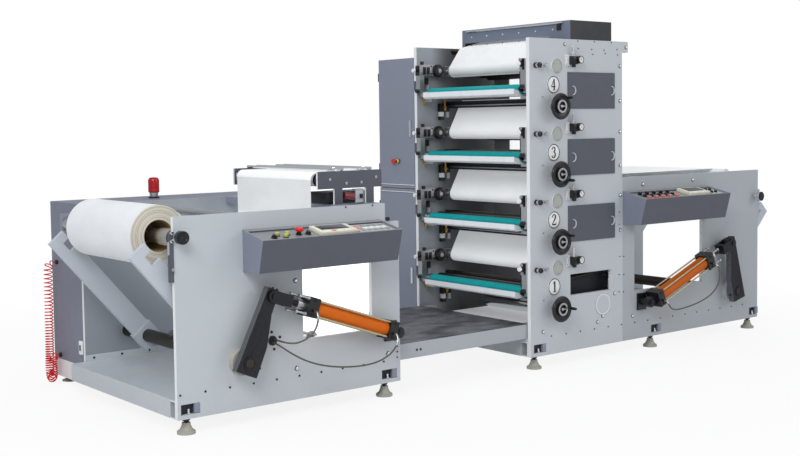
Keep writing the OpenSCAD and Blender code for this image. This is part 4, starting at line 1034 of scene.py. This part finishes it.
def console_gear():
    kit = Kit()
    selector(kit, 0, 110, 60)
    for u, v in ((150, 95), (185, 60), (215, 95)):
        push_button(kit, 0, u, v, 13, OLIVE, BLACK, 18)
    kit.lathe(on_console(0, 285, 85), [
        (17, 0), (17, 6), (13, 8), (13, 20), (24, 24), (26, 32), (20, 39), (0, 41)
    ], [BLACK] * 3 + [RED] * 4, 24, FIELD_OUT)
    selector(kit, 0, 345, 80)
    flat_box(kit, 0, 400, 30, 255, 130, 22, CREAM, 5)
    flat_box(kit, 0, 428, 70, 190, 76, 24, SCREEN, 1)
    for k in range(4):
        flat_box(kit, 0, 440 + 44 * k, 40, 26, 14, 24, (WHITE, RED, WHITE, WHITE)[k], 1)
    flat_box(kit, 0, 680, 30, 235, 130, 6, KEYPAD, 2)
    for i in range(5):
        for j in range(3):
            key = PINK if i == 0 and j > 0 else WHITE if j == 1 else FIELD
            flat_box(kit, 0, 694 + 44 * i, 42 + 38 * j, 32, 24, 8, key, 1)
    for i in range(5):
        u = 90 + 75 * i
        push_button(kit, 1, u, 135, 14, BLACK, BLACK, 20)
        push_button(kit, 1, u, 90, 14, (GRAPHITE, BLACK)[i % 2], BLACK, 14)
        push_button(kit, 1, u, 45, 14, PINK, RED, 16)
    flat_box(kit, 1, 520, 30, 230, 130, 24, CREAM, 5)
    flat_box(kit, 1, 546, 66, 176, 78, 26, SCREEN, 1)
    for k in range(4):
        flat_box(kit, 1, 552 + 42 * k, 38, 24, 14, 26, WHITE, 1)
    flat_box(kit, 1, 780, 30, 120, 130, 5, KEYPAD, 2)
    for u, v in ((805, 60), (850, 60), (805, 115), (850, 115)):
        selector(kit, 1, u, v, 12)
    piece = kit.done("console_gear", "cream_plastic")
    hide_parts("console_controls")


def warning_beacon():
    kit = Kit()
    c = (-1879, 1600, 1177)
    kit.lathe(c, [(0, 0), (37, 0), (37, 8), (33, 12), (26, 12)], BLACK, 32, UP)
    kit.lathe(c, [(26, 12), (26, 20), (29, 22), (29, 36), (34, 40)], STEEL, 32, UP)
    ribs = [p for k in range(9) for p in ((37, 43 + 9 * k), (36, 48 + 9 * k))]
    lens = [(34, 40), *ribs, (34, 126), (27, 136), (0, 140)]
    # Every other band of the ribbed lens in darker red: painted shade
    kit.lathe(c, lens, [LENS, LENS_RIB_SHADE] * 10 + [LENS], 40, UP)
    piece = kit.done("beacon_lamp", "red_plastic")
    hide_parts("beacon")


FRONT_FEET = [(-2512, 0), (-1161, 0), (88, TOWER_Y), (1278, TOWER_Y), (2457, TOWER_Y)]
FOOT_NUTS = [
    (-2512, 55), (-1161, 55), (88, 25), (88, 1090), (1278, 25), (1278, 1090), (2457, 25),
    (2457, 1090), (91, 1514), (530, 1514),
]


def feet_and_pockets():
    kit = Kit()
    for x, y in FRONT_FEET:
        # Dark plate in each foot's pocket: painted shade
        kit.box((x - 56, y + 20, 116), (x + 56, y + 24, 170), SHADE_FILL, 0)
        kit.box((x + 24, y + 1, 116), (x + 56, y + 21, 170), CABINET, 0.5)
        hex_nut(kit, (x - 8, y + 12, 116), UP, 11, 10, CHROME)
        kit.lathe((x - 8, y + 12, 126), [(7, 0), (7, 16), (5, 18), (0, 18)], CHROME, 14, UP)
    for x, y in FOOT_NUTS:
        hex_nut(kit, (x, y, 70), UP, 22, 14, GRAPHITE)
    kit.done("feet_hardware", "bright_steel")


LEVER_OUT, CYLINDER_OUT = 104, 80
LEVER_BOSS = [(40, 0), (40, 1), (35, 2), (33, 1), (31, 1), (30, 3), (26, 3), (25, 0)]
# Each lever's pivot, tilt, the side its clamp screw is on, and the face of its panel
LEVERS = {
    "unwind": (UNWIND_PIVOT, radians(66.5), 1, 0),
    "rewind": (REWIND_PIVOT, radians(180 - 76.5), -1, TOWER_Y),
}


def lever_hardware(name):
    pivot, a, side, face = LEVERS[name]
    kit = Kit()
    c = (pivot[0], face - LEVER_OUT, pivot[1])
    kit.lathe(c, LEVER_BOSS, GRAPHITE, 32)
    kit.lathe(c, [(12, 0), (9, 1.5), (0, 0.5)], SHAFT, 16)
    d, n = Vector((cos(a), sin(a))), Vector((sin(a), -cos(a))) * side

    def screw(place, along, long, r):
        tip = place + along * long
        y = face - CYLINDER_OUT
        kit.rod((place.x, y, place.y), (tip.x, y, tip.y), r, BLACK, 10, 1)

    screw(Vector(pivot) - d * 6 + n * 70, n, 16, 7)
    top = Vector(pivot) + d * 424 + n * 10
    for k in (-14, 14):
        screw(top - n * k, d, 12, 6)
    kit.done(name + "_lever_hardware", "dark_steel", name + "_swing")


def cylinder_hardware(name):
    side, face = LEVERS[name][2:]
    rear, tilt = CYLINDERS[name + "_barrel"]
    d = Vector((cos(tilt), sin(tilt)))
    n = Vector((-d.y, d.x)) * -side
    kit = Kit()

    def point(s, t, out):
        q = rear + d * s + n * t
        return (q.x, face - CYLINDER_OUT - out, q.y)

    for s in (79, 680):
        for t in (-40, 40):
            cap_screw(kit, *point(s, t, 56), 8, GRAPHITE)
    cap_screw(kit, *point(0, 0, 30), 15, BLACK)
    kit.done(name + "_cylinder_hardware", "dark_steel", name + "_barrel")


def linkage_hardware():
    for name in LEVERS:
        lever_hardware(name)
    for name in LEVERS:
        cylinder_hardware(name)


CLAMP_STEM = [(20, -36), (20, -14), (26, -12), (26, -4), (30, 0)]
CLAMP_CAP = [(30, 0), (30, 3), (22, 3), (20, 1), (8, 1)]


def clamp_knob(kit, axis, face, tip):
    x, z = axis
    kit.lathe((x, face - 36, z), CLAMP_STEM, CHROME, 24)
    kit.lathe((x, face - 70, z), CLAMP_CAP + tip, BLACK, 28)


def reel_hardware():
    kit = Kit()
    clamp_knob(kit, UNWIND_CLAMP, 0, [(6, 3), (0, 3)])
    stud = [(11, 0), (11, 12), (8, 16), (0, 16)]
    for dz in (-20, 24):
        kit.lathe((-2601, -1, UNWIND_CLAMP[1] + dz), stud, CHROME, 16)
    kit.rod((-2612, 12, 975), (-2612, 12, 1045), 9, CHROME, 14, 2)
    kit.box((-2611, -6, 880), (-2592, 2, 1040), SLATE, 2)
    hex_nut(kit, (-2601, -6, 900), OUT, 10, 8)
    kit.done("reel_clamp_hardware", "chrome")
    kit = Kit()
    clamp_knob(kit, REWIND_CLAMP, TOWER_Y, [(0, 3)])
    kit.done("rewind_clamp_hardware", "chrome")


def back_panel_strip():
    kit = Kit()
    kit.box((-2490, 1366, 160), (-1080, 1374.5, 232), PANEL, 1.5)
    for k in range(8):
        cap_screw(kit, -2440 + 190 * k, 1366, 214, 7, GRAPHITE)
    kit.box((-2506, 1404, 232), (-2492.5, 1442, 318), WHITE, 2)
    kit.box((-2509, 1412, 256), (-2505, 1428, 292), GRAPHITE, 1)
    kit.done("back_panel_strip", "panel_paint")


def guide_gear():
    kit = Kit()
    y = 122
    for x, z in ((-1492, 1326), (-1372, 1300), (-1261, 1302), (-1150, 1330)):
        cap_screw(kit, x, y, z, 9, STEEL)
    kit.box((-1500, 150, 1178), (-1180, 330, 1250), GRAPHITE, 4)
    kit.box((-1470, 146, 1186), (-1390, 152, 1240), BLACK, 2)
    kit.rod((-1370, 150, 1226), (-1300, 150, 1218), 22, MAROON, 20, 4)
    kit.rod((-1300, 152, 1212), (-1180, 152, 1200), 12, STEEL, 16, 2)
    kit.box((-1290, 140, 1180), (-1230, 180, 1262), PANEL, 2)
    kit.box((-1262, 128, 1206), (-1244, 142, 1232), BLACK, 2)
    kit.rod((-1410, 160, 1178), (-1410, 160, 1262), 5, STEEL, 10, 1)
    flange = [(18, 0), (44, 0), (44, 8), (40, 16), (34, 18), (18, 18)]
    kit.lathe((-1540, 137, 1325), flange, BLACK, 32, BACK)
    for x in (-1470, -1250):
        kit.box((x - 14, y - 2, 1376), (x + 14, y + 16, 1398), CHROME, 2)
    kit.done("web_guide_gear", "dark_steel")


def box_and_doors():
    kit = Kit()
    for y in range(140, 1130, 165):
        cap_screw(kit, 401, y, 2276, 5, PALE_PAINT_AND_HIGHLIGHT, LEFT)
        cap_screw(kit, 401, y, 2216, 4, GRAPHITE, LEFT)
    kit.box((394, 60, 2268), (401, 100, 2312), BLACK, 2)
    kit.done("hot_air_box_screws", "dark_steel")
    kit = Kit()
    stop = [(16, 0), (16, 6), (12, 8), (12, 20), (19, 22), (20, 30), (14, 35), (0, 36)]
    kit.lathe((0, 1376, 1370), stop, [BLACK] * 3 + [RED] * 4, 24, LEFT)
    switch = [(16, 0), (16, 8), (15, 10), (15, 22), (12, 25), (0, 25)]
    kit.lathe((0, 1340, 1370), switch, [BLACK, BLACK, YELLOW, YELLOW, BLACK], 24, LEFT)
    kit.done("door_buttons", "red_plastic", "door_upper")
    for body, z in (("door_upper", 1194), ("door_lower", 1142)):
        kit = Kit()
        # Along each door's seam the pale strip is a painted highlight over the dark joint
        kit.box((-1.2, 1160, z), (0, 1560, z + 5), PALE_PAINT_AND_HIGHLIGHT, 0.4)
        kit.box((-0.8, 1160, z - 4), (0, 1560, z), SLATE, 0)
        kit.done(body + "_seam", "cabinet_paint", body)


DETAILS = (
    panel_fasteners, station_marks, station_fittings, handwheels, regulators, console_gear,
    warning_beacon, feet_and_pockets, linkage_hardware, reel_hardware, back_panel_strip,
    guide_gear, box_and_doors,
)


# Stage
def add_light(name, place, aim, size, power):
    data = bpy.data.lights.new(name, "AREA")
    data.shape = "RECTANGLE"
    data.size, data.size_y = size
    data.energy = power
    lamp = add_object(name, data)
    lamp.location = place
    lamp.rotation_euler = (Vector(aim) - Vector(place)).to_track_quat("-Z", "Y").to_euler()


def add_world(scene):
    """Soft studio light, and a white background where the camera looks past the machine."""
    world = bpy.data.worlds.new("studio")
    scene.world = world
    world.use_nodes = True
    tree = world.node_tree
    tree.nodes.clear()
    dim = add_node(tree, "Background", {"Color": (0.95, 0.97, 1.0, 1), "Strength": 0.5})
    bright = add_node(tree, "Background", {"Color": (1, 1, 1, 1), "Strength": 1.0})
    path = add_node(tree, "LightPath", {}).outputs
    seen = add_node(tree, "Math", {
        0: path["Is Camera Ray"], 1: path["Is Transmission Ray"],
    }, "MAXIMUM")
    mix = add_node(tree, "MixShader", {
        "Fac": seen.outputs[0], 1: dim.outputs[0], 2: bright.outputs[0],
    })
    add_node(tree, "OutputWorld", {"Surface": mix.outputs[0]})


FLOOR_HALF = 60.0
FLOOR_FADE, FLOOR_GLOW = (2.2, 5.0), (0.87, 1.0)


def add_floor():
    """Pale floor that keeps a faint shadow near the machine and goes white further off."""
    mesh = bpy.data.meshes.new("floor")
    far = FLOOR_HALF
    corners = [(-far, -far, 0), (far, -far, 0), (far, far, 0), (-far, far, 0)]
    mesh.from_pydata(corners, [], [(0, 1, 2, 3)])
    floor = add_object("floor", mesh)
    f = Finish("pale_floor", (0.86, 0.86, 0.86, 1), 0.9).set("Specular IOR Level", 0.1)
    shade = f.bsdf.outputs[0]
    glow = f.node("Emission", {"Color": (1, 1, 1, 1), "Strength": 1.0}).outputs[0]
    far_off = f.vector("LENGTH", f.coords)["Value"]
    fade = map_range(f.tree, far_off, FLOOR_FADE, FLOOR_GLOW)
    pale = f.node("MixShader", {"Fac": fade, 1: shade, 2: glow}).outputs[0]
    seen = f.node("LightPath", {}).outputs["Is Camera Ray"]
    mix = f.node("MixShader", {"Fac": seen, 1: shade, 2: pale}).outputs[0]
    plug(f.tree, f.tree.nodes["Material Output"].inputs["Surface"], mix)
    mesh.materials.append(f.mat)


def add_stage():
    scene = bpy.context.scene
    scene.view_settings.view_transform = "Standard"
    add_world(scene)
    add_floor()
    add_light("key_left", (-6.5, -4.5, 5.5), (-0.5, 0, 0.8), (4, 3), 300)
    add_light("fill_right", (4.5, -7.0, 4.0), (0.6, 0, 0.9), (4, 3), 90)
    add_light("top", (0, 0, 6.5), (0, 0, 0), (6, 4), 100)


add_camera()
hose("unwind_hose_to_rod_end", "unwind_hose_front", UNWIND_FRONT_ROUTE, [55], "unwind_barrel")
hose("unwind_hose_to_rear_end", "unwind_hose_rear", UNWIND_REAR_ROUTE, [85], "unwind_barrel")
hose("rewind_hose_loop", "rewind_hose", REWIND_ROUTE, [-40, 40], body="rewind_barrel")
coil_hose()
dress_nodes()
for build in DETAILS:
    build()
add_stage()
